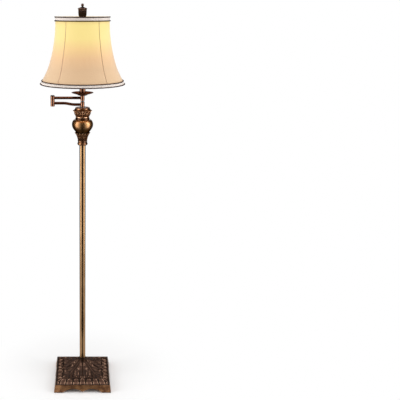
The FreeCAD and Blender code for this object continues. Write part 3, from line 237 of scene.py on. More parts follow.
class Graph:
    """The nodes of one material or of the world."""

    def __init__(self, name: str, kind: GraphKind = GraphKind.MATERIAL) -> None:
        """Starts an empty graph.

        Args:
            name: the material's or world's name.
            kind: which of the two it is.
        """
        shelf = bpy.data.worlds if kind is GraphKind.WORLD else bpy.data.materials
        self.kind = kind
        self.owner = shelf.new(name)
        self.owner.use_nodes = True
        self.tree = self.owner.node_tree
        self.tree.nodes.clear()

    def node(self, kind: str, settings: dict | None = None, inputs: dict | None = None,
             output: int | str = 0) -> Sock:
        """Adds one node.

        Args:
            kind: the node's type.
            settings: its properties, and "stops" for a ramp's places and colours.
            inputs: values or sockets by input name or number.
            output: which output to return.

        Returns:
            The chosen output.
        """
        made = self.tree.nodes.new(kind)
        for key, value in (settings or {}).items():
            if key == "stops":
                self._set_stops(made.color_ramp, value)
            else:
                setattr(made, key, value)
        for key, value in (inputs or {}).items():
            if isinstance(value, Sock):
                self.tree.links.new(value.socket, made.inputs[key])
            else:
                made.inputs[key].default_value = value
        return Sock(self, made.outputs[output])

    def _set_stops(self, ramp: bpy.types.ColorRamp, stops: Sequence[tuple[float, Colour]]) -> None:
        """Gives a ramp its places and colours.

        Args:
            ramp: the ramp.
            stops: its places from 0 to 1 and their colours.
        """
        while len(ramp.elements) < len(stops):
            ramp.elements.new(0.5)
        for element, (place, colour) in zip(ramp.elements, stops):
            element.position = place
            element.color = colour

    def mix(self, factor: "Sock | float", first: "Sock | Colour", second: "Sock | Colour",
            blend: str = "MIX") -> Sock:
        """Mixes two colours."""
        return self.node("ShaderNodeMix", {"data_type": "RGBA", "blend_type": blend},
                         {0: factor, 6: first, 7: second}, 2)

    def place(self, scale: tuple[float, float, float] = (1.0, 1.0, 1.0)) -> Sock:
        """Object coordinates in metres, scaled along each axis."""
        spot = self.node("ShaderNodeTexCoord", output="Object")
        return self.node("ShaderNodeMapping", {"vector_type": "POINT"}, {"Vector": spot, "Scale": scale})

    def axes(self) -> tuple[Sock, Sock, Sock]:
        """The three object coordinates by themselves.

        Returns:
            Across, along and up, in metres.
        """
        spot = self.node("ShaderNodeTexCoord", output="Object")
        made = self.node("ShaderNodeSeparateXYZ", None, {0: spot})
        across, along, up = (Sock(self, output) for output in made.socket.node.outputs)
        return across, along, up

    def threads(self, around: float, up: float, scale: float, detail: float) -> Sock:
        """Noise drawn out round or up the lamp, like threads.

        Args:
            around: how fine it is round the axis.
            up: how fine it is upwards.
            scale: the noise's scale.
            detail: the noise's detail.

        Returns:
            The noise, from 0 to 1.
        """
        ways = {0: self.turn() * around, 1: self.axes()[2] * up, 2: 0.0}
        place = self.node("ShaderNodeCombineXYZ", None, ways)
        return self.node("ShaderNodeTexNoise", None, {"Vector": place, "Scale": scale, "Detail": detail})

    def turn(self) -> Sock:
        """How far round the lamp's axis a place is, in radians."""
        across, along, _ = self.axes()
        return self.node("ShaderNodeMath", {"operation": "ARCTAN2"}, {0: along, 1: across})

    def grey(self, value: Sock) -> Sock:
        """A grey colour from one value."""
        return self.node("ShaderNodeCombineColor", None, {0: value, 1: value, 2: value})

    def ray(self, *kinds: str) -> Sock:
        """Tells light rays apart.

        Args:
            kinds: the kinds to look for, as the Light Path node names them.

        Returns:
            At least 1 for a ray of any of these kinds, 0 for the rest.
        """
        path = self.tree.nodes.new("ShaderNodeLightPath").outputs
        first, *others = (Sock(self, path[kind]) for kind in kinds)
        return sum(others, start=first)

    def noise(self, scale: float, detail: float = 3.0,
              stretch: tuple[float, float, float] = (1.0, 1.0, 1.0)) -> Sock:
        """Noise from 0 to 1 on stretched object coordinates."""
        return self.node("ShaderNodeTexNoise", None,
                         {"Vector": self.place(stretch), "Scale": scale, "Detail": detail})

    def spread(self, value: Sock, low: float, high: float) -> Sock:
        """Stretches a value so that low becomes 0 and high becomes 1, smoothly."""
        return self.node("ShaderNodeMapRange", {"interpolation_type": "SMOOTHSTEP"},
                         {"Value": value, "From Min": low, "From Max": high})

    def relief(self) -> Sock:
        """The carving's own height, from 0 in its hollows to 1 on its ridges."""
        return self.node("ShaderNodeAttribute", {"attribute_name": "relief"}, None, "Fac")

    def bump(self, height: Sock, strength: float, distance: float) -> Sock:
        """A bump normal from a height."""
        return self.node("ShaderNodeBump", None,
                         {"Height": height, "Strength": strength, "Distance": distance})

    def surface(self, inputs: dict) -> Material:
        """Ends the material in a Principled shader with these inputs."""
        return self.close(self.node("ShaderNodeBsdfPrincipled", None, inputs))

    def close(self, shader: Sock) -> "Material | bpy.types.World":
        """Ends the graph.

        Args:
            shader: the shader that it ends in.

        Returns:
            The finished material or world.
        """
        out = self.tree.nodes.new(self.kind.value)
        self.tree.links.new(shader.socket, out.inputs["Surface"])
        return self.owner


class Brushing(Enum):
    """Which way the fine lines of a metal finish run."""

    UPRIGHT = (900.0, 900.0, 9.0)
    ROUND = (14.0, 14.0, 1400.0)
    CLOUDY = (160.0, 160.0, 160.0)


@dataclass(frozen=True)
class Bronze:
    """A lacquered bronze finish, darker in patches, with fine lines.

    Attributes:
        name: the material's name.
        dark: the patina's colour.
        light: the rubbed metal's colour.
        brushing: which way the fine lines run.
        roughness: how soft its reflections are.
        metallic: how metallic the lacquer reads.
        lines: how strongly the fine lines show.
        unevenness: how uneven its polish is.
        coat: how thick its clear lacquer is.
        painted_shade: the heights between which painted shade at the underside ends, in metres.
    """

    name: str
    dark: Colour
    light: Colour
    brushing: Brushing = Brushing.CLOUDY
    roughness: float = 0.34
    metallic: float = 0.9
    lines: float = 0.25
    unevenness: float = 1.0
    coat: float = 0.0
    painted_shade: tuple[float, float] = (0.0, 0.0)

    def build(self) -> Material:
        """Makes the finish.

        Returns:
            Its new material.
        """
        graph = Graph(self.name)
        clouds = graph.noise(scale=26.0, detail=5.0)
        fine = graph.noise(scale=1.0, detail=4.0, stretch=self.brushing.value)
        mask = graph.spread(clouds * (1 - self.lines) + fine * self.lines, 0.36, 0.64)
        rough = (clouds * 0.12 + fine * 0.1) * self.unevenness + (self.roughness - 0.11 * self.unevenness)
        colour = graph.mix(mask, self.dark, self.light)
        coat = self.coat
        # Painted shade: darkens the underside and takes its clear coat off there.
        if self.painted_shade[1] > self.painted_shade[0]:
            low = 1 - graph.spread(graph.axes()[2] + clouds * 0.006, *self.painted_shade)
            colour = graph.mix(low * 0.95, colour, darker(self.dark, 0.08))
            coat = (1 - low) * self.coat
        return graph.surface({
            "Base Color": colour,
            "Metallic": self.metallic,
            "Roughness": rough,
            "Specular Tint": EDGE_TINT,
            "Coat Weight": coat,
            "Coat Roughness": 0.2,
            "Normal": graph.bump(fine, strength=0.06 * self.unevenness, distance=0.0002),
        })


@dataclass(frozen=True)
class CarvedBronze:
    """Carved work with dark patina and painted shade in its hollows, and rubbed ridges with painted
    highlights.

    Attributes:
        name: the material's name.
        hollow: the hollows' colour, dark patina deepened into painted shade.
        body: the colour of the slopes.
        ridge: the colour of rubbed metal on the ridges, brightened into a painted highlight.
        rubbed: the relief height from which ridges are rubbed bright and painted as highlights.
        roughness: how soft its reflections are.
        metallic: how metallic its hollows are.
    """

    name: str
    hollow: Colour
    body: Colour
    ridge: Colour
    rubbed: float = 0.62
    roughness: float = 0.4
    metallic: float = 0.35

    def build(self) -> Material:
        """Makes the finish.

        Returns:
            Its new material.
        """
        graph = Graph(self.name)
        relief = graph.relief()
        clouds = graph.noise(scale=60.0, detail=6.0)
        grain = graph.noise(scale=420.0, detail=4.0)
        # Relief sets the colour: dark patina with painted shade low down, rubbed metal with painted
        # highlights on the ridges.
        wear_and_painted_light = relief + clouds * 0.3 - 0.15
        low = graph.mix(graph.spread(wear_and_painted_light, 0.05, 0.45), self.hollow, self.body)
        colour = graph.mix(graph.spread(wear_and_painted_light, self.rubbed, self.rubbed + 0.3), low, self.ridge)
        metal = graph.spread(wear_and_painted_light, 0.1, 0.7) * (0.92 - self.metallic) + self.metallic
        return graph.surface({
            "Base Color": colour,
            "Metallic": metal,
            "Specular Tint": EDGE_TINT,
            "Roughness": self.roughness + 0.16 - relief * 0.22 + grain * 0.1,
            "Normal": graph.bump(grain + clouds, strength=0.3, distance=0.0006),
        })


@dataclass(frozen=True)
class PlainFinish:
    """A plated, moulded or cast surface with a little uneven tone.

    Attributes:
        name: the material's name.
        colour: its main colour.
        metallic: 1 for bare metal.
        roughness: how soft its reflections are.
        grain: the size of its unevenness, as a noise scale.
        unevenness: how much darker the darkest patches are.
        glow: the light it gives off itself.
    """

    name: str
    colour: Colour
    metallic: float = 0.0
    roughness: float = 0.5
    grain: float = 90.0
    unevenness: float = 0.25
    glow: float = 0.0

    def build(self) -> Material:
        """Makes the finish.

        Returns:
            Its new material.
        """
        graph = Graph(self.name)
        clouds = graph.noise(scale=self.grain, detail=5.0)
        dark = darker(self.colour, 1 - self.unevenness)
        colour = graph.mix(graph.spread(clouds, 0.3, 0.7), dark, self.colour)
        inputs = {
            "Base Color": colour,
            "Metallic": self.metallic,
            "Roughness": clouds * 0.16 + (self.roughness - 0.08),
            "Normal": graph.bump(clouds, strength=0.2, distance=0.0004),
        }
        if self.glow:
            inputs["Emission Color"] = colour
            inputs["Emission Strength"] = self.glow
        return graph.surface(inputs)


@dataclass(frozen=True)
class ApronBronze:
    """The base casting: mottled bronze apron, with painted shade under the border and along its foot.

    Attributes:
        name: the material's name.
        painted_shade: the colour of the painted shade.
        body: the apron's main colour.
        rubbed: the bright patches.
        groove: the height of the groove under the border, which is painted as shade, in metres.
    """

    name: str
    painted_shade: Colour
    body: Colour
    rubbed: Colour
    groove: float

    def build(self) -> Material:
        """Makes the finish.

        Returns:
            Its new material.
        """
        graph = Graph(self.name)
        height = graph.axes()[2]
        clouds = graph.noise(scale=34.0, detail=6.0)
        speckle = graph.noise(scale=300.0, detail=3.0)
        patches = graph.spread(clouds + speckle * 0.35, 0.5, 0.85)
        colour = graph.mix(patches, self.body, self.rubbed)
        # Painted shade: darker in the groove under the border and along the foot where the apron meets the
        # floor.
        shade = graph.spread(height, self.groove - 0.003, self.groove - 0.001)
        foot = 1 - graph.spread(height, 0.0, 0.006)
        return graph.surface({
            "Base Color": graph.mix(shade + foot * 0.6, colour, self.painted_shade),
            "Metallic": 0.7,
            "Roughness": 0.5 - patches * 0.12,
            "Normal": graph.bump(clouds + speckle * 0.4, strength=0.5, distance=0.0012),
        })


@dataclass(frozen=True)
class ShadeSilk:
    """Cream silk that glows where the bulb stands behind it.

    Attributes:
        name: the material's name.
        cloth: the silk's own colour.
        top: the height of the shade's top, in metres.
        height: the shade's height, in metres.
        glow: the light through the cloth, from the top down, as shares of the height.
        strength: how strong that light is.
    """

    name: str
    cloth: Colour
    top: float
    height: float
    glow: tuple[tuple[float, Colour], ...]
    strength: float = 1.0

    def build(self) -> Material:
        """Makes the finish.

        Returns:
            Its new material.
        """
        graph = Graph(self.name)
        down = (self.top - graph.axes()[2]) / self.height
        slub = graph.threads(around=60.0, up=4200.0, scale=0.5, detail=3.0)
        weft = graph.threads(around=900.0, up=60.0, scale=0.6, detail=2.0)
        clouds = graph.noise(scale=9.0, detail=2.0)
        weave = slub * 0.6 + weft * 0.4
        lit = graph.node("ShaderNodeValToRGB", {"stops": self.glow}, {"Fac": down + clouds * 0.06 - 0.03})
        tone = weave * 0.16 + 0.92
        return graph.surface({
            "Base Color": graph.mix(graph.spread(weave, 0.3, 0.7), darker(self.cloth, 0.93), self.cloth),
            "Roughness": 0.72,
            "Sheen Weight": 0.4,
            "Sheen Roughness": 0.4,
            "Emission Color": graph.mix(1.0, lit, graph.grey(tone), "MULTIPLY"),
            "Emission Strength": self.strength,
            "Normal": graph.bump(weave, strength=0.25, distance=0.0003),
        })


@dataclass(frozen=True)
class WovenTrim:
    """Ribbon or cord, ribbed round the shade.

    Attributes:
        name: the material's name.
        dark: the colour between ribs.
        light: the colour of the ribs.
        ribs: how many ribs go round.
        glow: a faint light through the ribbon.
        sheen: how strongly its fibres catch light at the edges.
    """

    name: str
    dark: Colour
    light: Colour
    ribs: float
    glow: float = 0.0
    sheen: float = 0.0

    def build(self) -> Material:
        """Makes the finish.

        Returns:
            Its new material.
        """
        graph = Graph(self.name)
        wave = graph.node("ShaderNodeMath", {"operation": "SINE"}, {0: graph.turn() * self.ribs})
        clouds = graph.noise(scale=70.0, detail=4.0)
        rib = wave * 0.35 + clouds * 0.5 + 0.25
        colour = graph.mix(graph.spread(rib, 0.1, 0.8), self.dark, self.light)
        inputs = {
            "Base Color": colour,
            "Roughness": 0.68,
            "Specular IOR Level": 0.15,
            "Sheen Weight": self.sheen,
            "Normal": graph.bump(rib, strength=0.5, distance=0.0003),
        }
        if self.glow:
            inputs["Emission Color"] = colour
            inputs["Emission Strength"] = self.glow
        return graph.surface(inputs)


ARM_BRONZE = Bronze("arm_bronze", srgb(114, 73, 50), srgb(146, 99, 72), roughness=0.24, metallic=0.95,
                    unevenness=0.4, coat=0.5)
TUBE_BRONZE = Bronze("tube_bronze", srgb(96, 57, 40), srgb(124, 76, 54), roughness=0.3, metallic=0.92,
                     unevenness=0.4, coat=0.3)
POLE_BRONZE = Bronze("pole_bronze", srgb(144, 110, 74), srgb(160, 125, 86), Brushing.UPRIGHT, roughness=0.18,
                     metallic=0.97, lines=0.3, unevenness=0.06, coat=0.3)
URN_BRONZE = Bronze("urn_bronze", srgb(158, 109, 63), srgb(186, 136, 84), roughness=0.32, metallic=0.96,
                    lines=0.1, unevenness=0.4, coat=0.8, painted_shade=(1.122, 1.154))
NECK_BRONZE = Bronze("neck_bronze", srgb(92, 58, 33), srgb(160, 111, 70), roughness=0.28, metallic=0.94,
                     lines=0.1, unevenness=0.5, coat=0.5)
DARK_CAP = Bronze("cap_bronze", srgb(22, 16, 14), srgb(48, 36, 30), roughness=0.3, metallic=0.8)
PAN_BRONZE = Bronze("pan_bronze", srgb(70, 48, 37), srgb(128, 92, 69), Brushing.ROUND, roughness=0.32,
                    metallic=0.88, unevenness=0.6)
COLLAR_BRONZE = Bronze("foot_collar_bronze", srgb(26, 18, 15), srgb(62, 43, 32), roughness=0.4, metallic=0.8)
# Carvings: hollow colours are patina with painted shade, ridge colours are rubbed metal with painted
# highlights.
BASE_CARVING = CarvedBronze("base_carving", srgb(38, 26, 21), srgb(78, 57, 47), srgb(186, 148, 124),
                            rubbed=0.64, roughness=0.3)
COLLAR_CARVING = CarvedBronze("collar_carving", srgb(22, 12, 7), srgb(116, 74, 44), srgb(250, 204, 164),
                              rubbed=0.55, roughness=0.26, metallic=0.7)
CUP_CARVING = CarvedBronze("cup_carving", srgb(16, 8, 4), srgb(84, 52, 30), srgb(228, 178, 132),
                           rubbed=0.6, roughness=0.28, metallic=0.7)
FINIAL_CARVING = CarvedBronze("finial_carving", srgb(20, 12, 8), srgb(46, 31, 25), srgb(150, 118, 102),
                              rubbed=0.62, roughness=0.28)
APRON = ApronBronze("base_apron", srgb(24, 15, 10), srgb(98, 63, 40), srgb(178, 129, 87), groove=0.0368)
SILK = ShadeSilk("shade_silk", srgb(203, 181, 149), top=1.55, height=0.2524, glow=(
    (0.0, srgb(160, 134, 42)), (0.12, srgb(174, 160, 38)), (0.3, srgb(172, 156, 36)),
    (0.45, srgb(164, 126, 24)), (0.6, srgb(140, 87, 10)), (0.75, srgb(114, 64, 6)),
    (1.0, srgb(104, 62, 12))), strength=1.03)
RIBBON = WovenTrim("ribbon", srgb(216, 202, 192), srgb(247, 237, 229), ribs=700.0, glow=0.06, sheen=0.3)
PIPING = WovenTrim("piping", srgb(26, 8, 3), srgb(54, 22, 12), ribs=400.0)
SEAM_CORD = WovenTrim("seam_cord", srgb(164, 132, 108), srgb(212, 182, 156), ribs=300.0, glow=0.06)
PLATED = PlainFinish("plated_steel", srgb(168, 168, 166), metallic=1.0, roughness=0.34)
IRON = PlainFinish("cast_iron_weight", srgb(74, 70, 68), metallic=0.6, roughness=0.7, grain=220.0,
                   unevenness=0.4)
FELT = PlainFinish("felt", srgb(40, 34, 30), roughness=0.95, grain=500.0, unevenness=0.5)
BLACK_MOULDED = PlainFinish("black_moulded", srgb(30, 28, 27), roughness=0.42, grain=200.0, unevenness=0.2)
NYLON = PlainFinish("nylon", srgb(214, 210, 196), roughness=0.45)
BRASS = PlainFinish("brass_plate", srgb(206, 166, 96), metallic=1.0, roughness=0.26, grain=60.0,
                    unevenness=0.3)
PAPER = PlainFinish("paper_liner", srgb(190, 164, 126), roughness=0.85, grain=320.0, unevenness=0.2)
BULB_METAL = PlainFinish("bulb_metal", srgb(196, 196, 196), metallic=1.0, roughness=0.3)
BULB_BODY = PlainFinish("bulb_body", srgb(240, 238, 232), roughness=0.35, grain=80.0, unevenness=0.05)
BULB_GLASS = PlainFinish("bulb_frost", srgb(255, 240, 205), grain=40.0, unevenness=0.06, glow=1.2)
WIRE = PlainFinish("frame_wire", srgb(226, 220, 208), roughness=0.45, grain=300.0, unevenness=0.15)

NODE_FINISHES = {
    PLATED: ("weight_clamp_washer", "base_lock_nut", "base_nipple", "pole_inserts", "urn_center_pipe",
             "pivot_stud", "pivot_retainer", "elbow_stud", "elbow_retainer", "end_nipple"),
    IRON: ("base_weight",),
    FELT: ("felt_feet",),
    BLACK_MOULDED: ("cord_inlet_bushing", "pole_lead", "lower_arm_lead", "upper_arm_lead", "socket_core",
                    "switch_knob"),
    NYLON: ("pivot_friction_washer", "elbow_friction_washer"),
    COLLAR_BRONZE: ("pole_foot_collar",),
    POLE_BRONZE: ("lower_pole", "middle_pole", "upper_pole"),
    URN_BRONZE: ("urn_bowl",),
    NECK_BRONZE: ("urn_foot_ring", "urn_neck_ring", "urn_cap"),
    ARM_BRONZE: ("lower_pivot_barrel", "elbow_lower_barrel", "elbow_upper_barrel", "end_barrel",
                 "socket_cover"),
    TUBE_BRONZE: ("lower_arm_tube", "upper_arm_tube"),
    DARK_CAP: ("end_barrel_screw",),
    PAN_BRONZE: ("pan_cup", "drip_pan"),
    BRASS: ("harp_saddle", "harp", "harp_sleeves", "harp_stud", "socket_cap", "socket_shell"),
    PAPER: ("socket_sleeve",),
    BULB_METAL: ("bulb_screw",),
    BULB_BODY: ("bulb_housing",),
    BULB_GLASS: ("bulb_globe",),
    WIRE: ("shade_ribs", "shade_spider"),
}


def dress_nodes() -> None:
    """Gives every CAD node that stays in view its finish."""
    for finish, names in NODE_FINISHES.items():
        material = finish.build()
        for name in names:
            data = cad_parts[name].data
            data.materials.clear()
            data.materials.append(material)
        LOG.info("%s: %s", finish.name, ", ".join(names))


def spin_outline(outline: Outline, steps: int) -> Mesh:
    """Spins a closed outline of radii and heights into a closed mesh.

    Args:
        outline: radii and heights in millimetres, in order round the section.
        steps: how many segments go round.

    Returns:
        The mesh, in millimetres.
    """
    mesh = bmesh.new()
    verts = [mesh.verts.new((radius, 0.0, height)) for radius, height in outline]
    edges = [mesh.edges.new((verts[index - 1], verts[index])) for index in range(len(verts))]
    on_axis = [edge for edge in edges if all(abs(vert.co.x) < MERGE_GAP for vert in edge.verts)]
    bmesh.ops.delete(mesh, geom=on_axis, context="EDGES_FACES")
    bmesh.ops.spin(mesh, geom=mesh.verts[:] + mesh.edges[:], cent=(0, 0, 0), axis=(0, 0, 1),
                   angle=FULL_TURN, steps=steps, use_merge=True)
    bmesh.ops.remove_doubles(mesh, verts=mesh.verts, dist=MERGE_GAP)
    bmesh.ops.recalc_face_normals(mesh, faces=mesh.faces)
    return mesh


def store_relief(mesh: Mesh, relief: Callable[[Vector], tuple[Vector, float]]) -> None:
    """Carves a mesh and keeps each point's relief for its finish.

    Args:
        mesh: the mesh, in millimetres.
        relief: gives a point's move and its relief from 0 to 1.
    """
    layer = mesh.verts.layers.float.new("relief")
    for vert in mesh.verts:
        move, height = relief(vert.co)
        vert.co += move
        vert[layer] = height


def extrude_rim(mesh: Mesh, edges: list[bmesh.types.BMEdge]
                ) -> tuple[list[bmesh.types.BMVert], list[bmesh.types.BMEdge]]:
    """Extrudes open edges.

    Args:
        mesh: the mesh that they belong to.
        edges: the open edges.

    Returns:
        The new vertices and the new edges.
    """
    made = bmesh.ops.extrude_edge_only(mesh, edges=edges)["geom"]
    return ([item for item in made if isinstance(item, bmesh.types.BMVert)],
            [item for item in made if isinstance(item, bmesh.types.BMEdge)])


def link_mesh(mesh: Mesh, name: str, material: Material) -> bpy.types.Object:
    """Puts a mesh into the scene.

    Args:
        mesh: the mesh in metres, which is used up.
        name: the object's name.
        material: its finish.

    Returns:
        The new object, at the origin.
    """
    data = bpy.data.meshes.new(name)
    mesh.to_mesh(data)
    mesh.free()
    data.materials.append(material)
    made = bpy.data.objects.new(name, data)
    bpy.context.scene.collection.objects.link(made)
    return made


def make_piece(mesh: Mesh, name: str, body: str, material: Material,
               replaced: Sequence[str] = ()) -> bpy.types.Object:
    """Turns a mesh in millimetres into a piece of the lamp.

    Args:
        mesh: the mesh, which is used up.
        name: the piece's name.
        body: the body it rides on.
        material: its finish.
        replaced: the CAD nodes it stands for.

    Returns:
        The new object.
    """
    bmesh.ops.scale(mesh, vec=(MM, MM, MM), verts=mesh.verts)
    for face in mesh.faces:
        face.smooth = True
    for edge in mesh.edges:
        edge.smooth = not edge.is_manifold or edge.calc_face_angle(0.0) < SHARP_ANGLE
    piece = link_mesh(mesh, name, material)
    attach(piece, body)
    if replaced:
        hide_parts(*replaced)
    LOG.info("%s: %d faces on %s", name, len(piece.data.polygons), body)
    return piece


@dataclass
class Acanthus:
    """A carved leaf, laid out on a run from its foot to its tip.

    Attributes:
        lobes: how many fronds each side has.
        notch: how deep the notches between fronds are, as a share of the width.
        blunt: how broad the leaf's ends are; lower is blunter.
        sweep: how far fronds lean towards the tip.
    """

    lobes: float = 4.0
    notch: float = 0.3
    blunt: float = 0.5
    sweep: float = 0.3

    def height(self, along: float, across: float) -> tuple[float, float]:
        """The leaf's height and relief at a place.

        Args:
            along: 0 at the foot, 1 at the tip.
            across: 0 on the midrib, 1 at the widest edge.

        Returns:
            The height, 0 off the leaf and up to 1 on its ridges, and how much a ridge it is.
        """
        if along <= 0 or along >= 1:
            return 0.0, 0.0
        side = abs(across)
        phase = self.lobes * (along - self.sweep * side)
        wave = 0.5 + 0.5 * math.cos(FULL_TURN * phase)
        spread = math.sin(math.pi * along ** 1.2) ** self.blunt
        edge = spread * (1 - self.notch * (1 - wave) ** 1.5)
        if side >= edge:
            return 0.0, 0.0
        shoulder = (1 - (side / edge) ** 4) ** 0.5
        outward = ease(side, 0.12, 0.4)
        frond = outward * wave ** 1.3
        midrib = bell(side, 0, 0.07)
        groove = bell(side, 0.17, 0.06)
        blade = 0.42 + 0.42 * frond - 0.16 * outward * (1 - wave) ** 3
        height = shoulder * (blade + 0.4 * midrib - 0.16 * groove)
        ridge = max(0.8 * outward * wave ** 6, 0.72 * midrib) * min(1.0, shoulder * 1.4)
        return max(0.02, height), max(0.55 * height, ridge)


@dataclass(frozen=True)
class LeafRing:
    """Equal leaves set round the mound, in millimetres.

    Attributes:
        leaf: the leaf's form.
        count: how many there are.
        turn: how far they're turned, as a share of their pitch.
        foot: the radius at which they start.
        tip: the radius at which they end.
        half_width: half their width.
        depth: how far they stand out.
        curl: how far their tips stand out more.
        pale: how much more, or below 0 how much less, their whole face is rubbed and painted as a highlight.
        tip_rub_and_highlight: how much more their tips are rubbed and painted as highlights.
    """

    leaf: Acanthus
    count: int
    turn: float
    foot: float
    tip: float
    half_width: float
    depth: float
    curl: float
    pale: float = 0.0
    tip_rub_and_highlight: float = 0.25

    def carve(self, radius: float, angle: float) -> tuple[float, float]:
        """How far the leaves stand out at a place.

        Args:
            radius: the place's distance from the axis.
            angle: how far round from the front it is, in radians.

        Returns:
            The carving's height and its relief.
        """
        pitch = FULL_TURN / self.count
        turned = off_middle(angle / pitch - self.turn) * pitch
        if abs(turned) > math.pi / 2:
            return 0.0, 0.0
        along = (radius * math.cos(turned) - self.foot) / (self.tip - self.foot)
        height, relief = self.leaf.height(along, radius * math.sin(turned) / self.half_width)
        rim = bell(along, 0.93, 0.06) * min(1.0, height * 3)
        # Leaf tips and faces get a painted highlight as well as rubbing.
        rubbed = relief + self.tip_rub_and_highlight * rim + self.pale * height
        return self.depth * height + self.curl * rim, min(1.0, rubbed)


@dataclass
class CarvedBase:
    """The base casting: a plain apron, and over it a border of lobes, a plateau and a leafy mound.

    Attributes are millimetres in the lamp's frame, apart from counts and shares. A share of the border runs
    from 0 at its foot to 1 at the plateau's edge, and a share of a lobe's pitch from 0 on its middle line.
    """

    border_foot: float = 113.0
    border_z: float = 36.2
    shoulder: float = 104.5
    shoulder_z: float = 43.8
    plateau_edge: float = 87.0
    plateau_z: float = 49.4
    lobe_pitch: float = 29.0
    lobe_fan: float = 0.1
    lobe_half: float = 0.45
    lobe_straight: float = 0.5
    lobe_round: float = 0.56
    lobe_edge: float = 0.05
    lobe_rim_in: float = 0.12
    lobe_rim_width: float = 0.06
    vein_width: float = 0.035
    full_depth_at: float = 0.35
    groove_depth: float = 5.0
    dish_depth: float = 2.8
    step_depth: float = 1.6
    corner_fall: float = 2.5
    corner_from: float = 84.0
    corner_to: float = 106.0
    corner_round: float = 9.0
    mound_radius: float = 78.0
    mound_top_radius: float = 18.0
    mound_top_z: float = 87.9
    mound_swell: float = 5.4
    plain_relief: float = 0.3
    cells: int = 298
    smoothing: int = 2
    apron_cut_z: float = 36.1
    lip_width: float = 5.0
    lip_drop: float = 0.15
    rings: tuple[LeafRing, ...] = (
        LeafRing(Acanthus(4.0, 0.34, 0.45, 0.34), count=4, turn=0.5, foot=22.0, tip=118.0, half_width=33.0,
                 depth=5.6, curl=1.6),
        LeafRing(Acanthus(2.5, 0.3, 0.5, 0.3), count=8, turn=0.5, foot=34.0, tip=88.0, half_width=13.0,
                 depth=6.4, curl=1.6),
        LeafRing(Acanthus(1.0, 0.0, 0.3, 0.0), count=4, turn=0.0, foot=34.0, tip=87.0, half_width=15.0,
                 depth=8.6, curl=2.4),
        LeafRing(Acanthus(1.5, 0.2, 0.4, 0.2), count=8, turn=0.5, foot=24.0, tip=56.0, half_width=5.5,
                 depth=7.4, curl=1.4, pale=0.25),
        LeafRing(Acanthus(0.0, 0.0, 0.3, 0.0), count=4, turn=0.0, foot=18.0, tip=38.0, half_width=11.0,
                 depth=6.4, curl=1.2, pale=-0.12),
    )

    def border(self, x: float, y: float) -> tuple[float, float]:
        """The lobed border and the plateau inside it.

        Args:
            x: across.
            y: along.

        Returns:
            The height and the relief there.
        """
        edge = max(abs(x), abs(y))
        height = value_along(((self.plateau_z, self.plateau_edge), (self.shoulder_z, self.shoulder),
                              (self.border_z, self.border_foot)), edge, self.plateau_z)
        inward = (self.border_foot - edge) / (self.border_foot - self.plateau_edge)
        if inward > 1.15:
            return height, self.plain_relief
        side = y if abs(x) > abs(y) else x
        local = abs(off_middle(side * (1 + self.lobe_fan * inward) / self.lobe_pitch))
        rounding = max(0.0, (inward - self.lobe_straight) / self.lobe_round)
        half = self.lobe_half * max(0.0, 1 - rounding ** 2) ** 0.5
        inside = ease(local, half, half - self.lobe_edge)
        rim = bell(local, half - self.lobe_rim_in, self.lobe_rim_width) * inside
        vein = bell(local, 0.0, self.vein_width) * inside * ease(inward, 0.9, 0.6)
        deep = min(1.0, inward / self.full_depth_at) * 0.9
        dish = self.dish_depth * inside * (1 - rim) * (1 - 0.5 * vein)
        height -= deep * (self.groove_depth * (1 - inside) + dish)
        corner = ease(min(abs(x), abs(y)), self.corner_from, self.corner_to) * ease(inward, 0.0, 0.4)
        height -= self.corner_fall * corner + self.step_depth * bell(inward, 1.03, 0.05)
        # Relief: the grooves stay low for patina with painted shade, and lobe rims and veins go high for
        # rubbing with painted highlights.
        return height, inside * (0.53 + 0.34 * rim + 0.1 * vein) + 0.1 * (1 - inside)

    def rounded(self, x: float, y: float) -> tuple[float, float]:
        """Where a point of the square goes when the border's corners are rounded.

        Args:
            x: across.
            y: along.

        Returns:
            The point's new place across and along.
        """
        centre = self.border_foot - self.corner_round
        wide, narrow = max(abs(x), abs(y)), min(abs(x), abs(y))
        if narrow <= centre:
            return x, y
        reach = wide - centre
        turn = math.pi / 4 * (narrow - centre) / reach
        far, near = centre + reach * math.cos(turn), centre + reach * math.sin(turn)
        across, along = (far, near) if abs(x) > abs(y) else (near, far)
        return math.copysign(across, x), math.copysign(along, y)

    def mound(self, radius: float) -> float:
        """The plain mound.

        Args:
            radius: the distance from the axis.

        Returns:
            Its height there, the plateau's outside the mound.
        """
        share = (self.mound_radius - radius) / (self.mound_radius - self.mound_top_radius)
        share = min(1.0, max(0.0, share))
        rise = self.mound_top_z - self.plateau_z
        return self.plateau_z + rise * share ** 1.25 + self.mound_swell * share * (1 - share)

    def carve(self, spot: Vector) -> tuple[Vector, float]:
        """Carves one point of the flat grid.

        Args:
            spot: the point.

        Returns:
            How it moves up to the carving, and its relief.
        """
        radius = math.hypot(spot.x, spot.y)
        height, relief = self.border(spot.x, spot.y)
        mound = self.mound(radius)
        if mound > self.plateau_z:
            height, relief = mound, self.plain_relief
        edge = max(abs(spot.x), abs(spot.y))
        room = ease(edge, self.plateau_edge + 3, self.plateau_edge - 4)
        stand = 0.0
        for ring in self.rings:
            lift, ridge = ring.carve(radius, from_front(spot))
            if lift * room > stand:
                stand, relief = lift * room, max(ridge * room, 0.05)
        top = self.mound_top_z + 0.4
        x, y = self.rounded(spot.x, spot.y)
        return Vector((x - spot.x, y - spot.y, min(height + stand, top) - spot.z)), relief

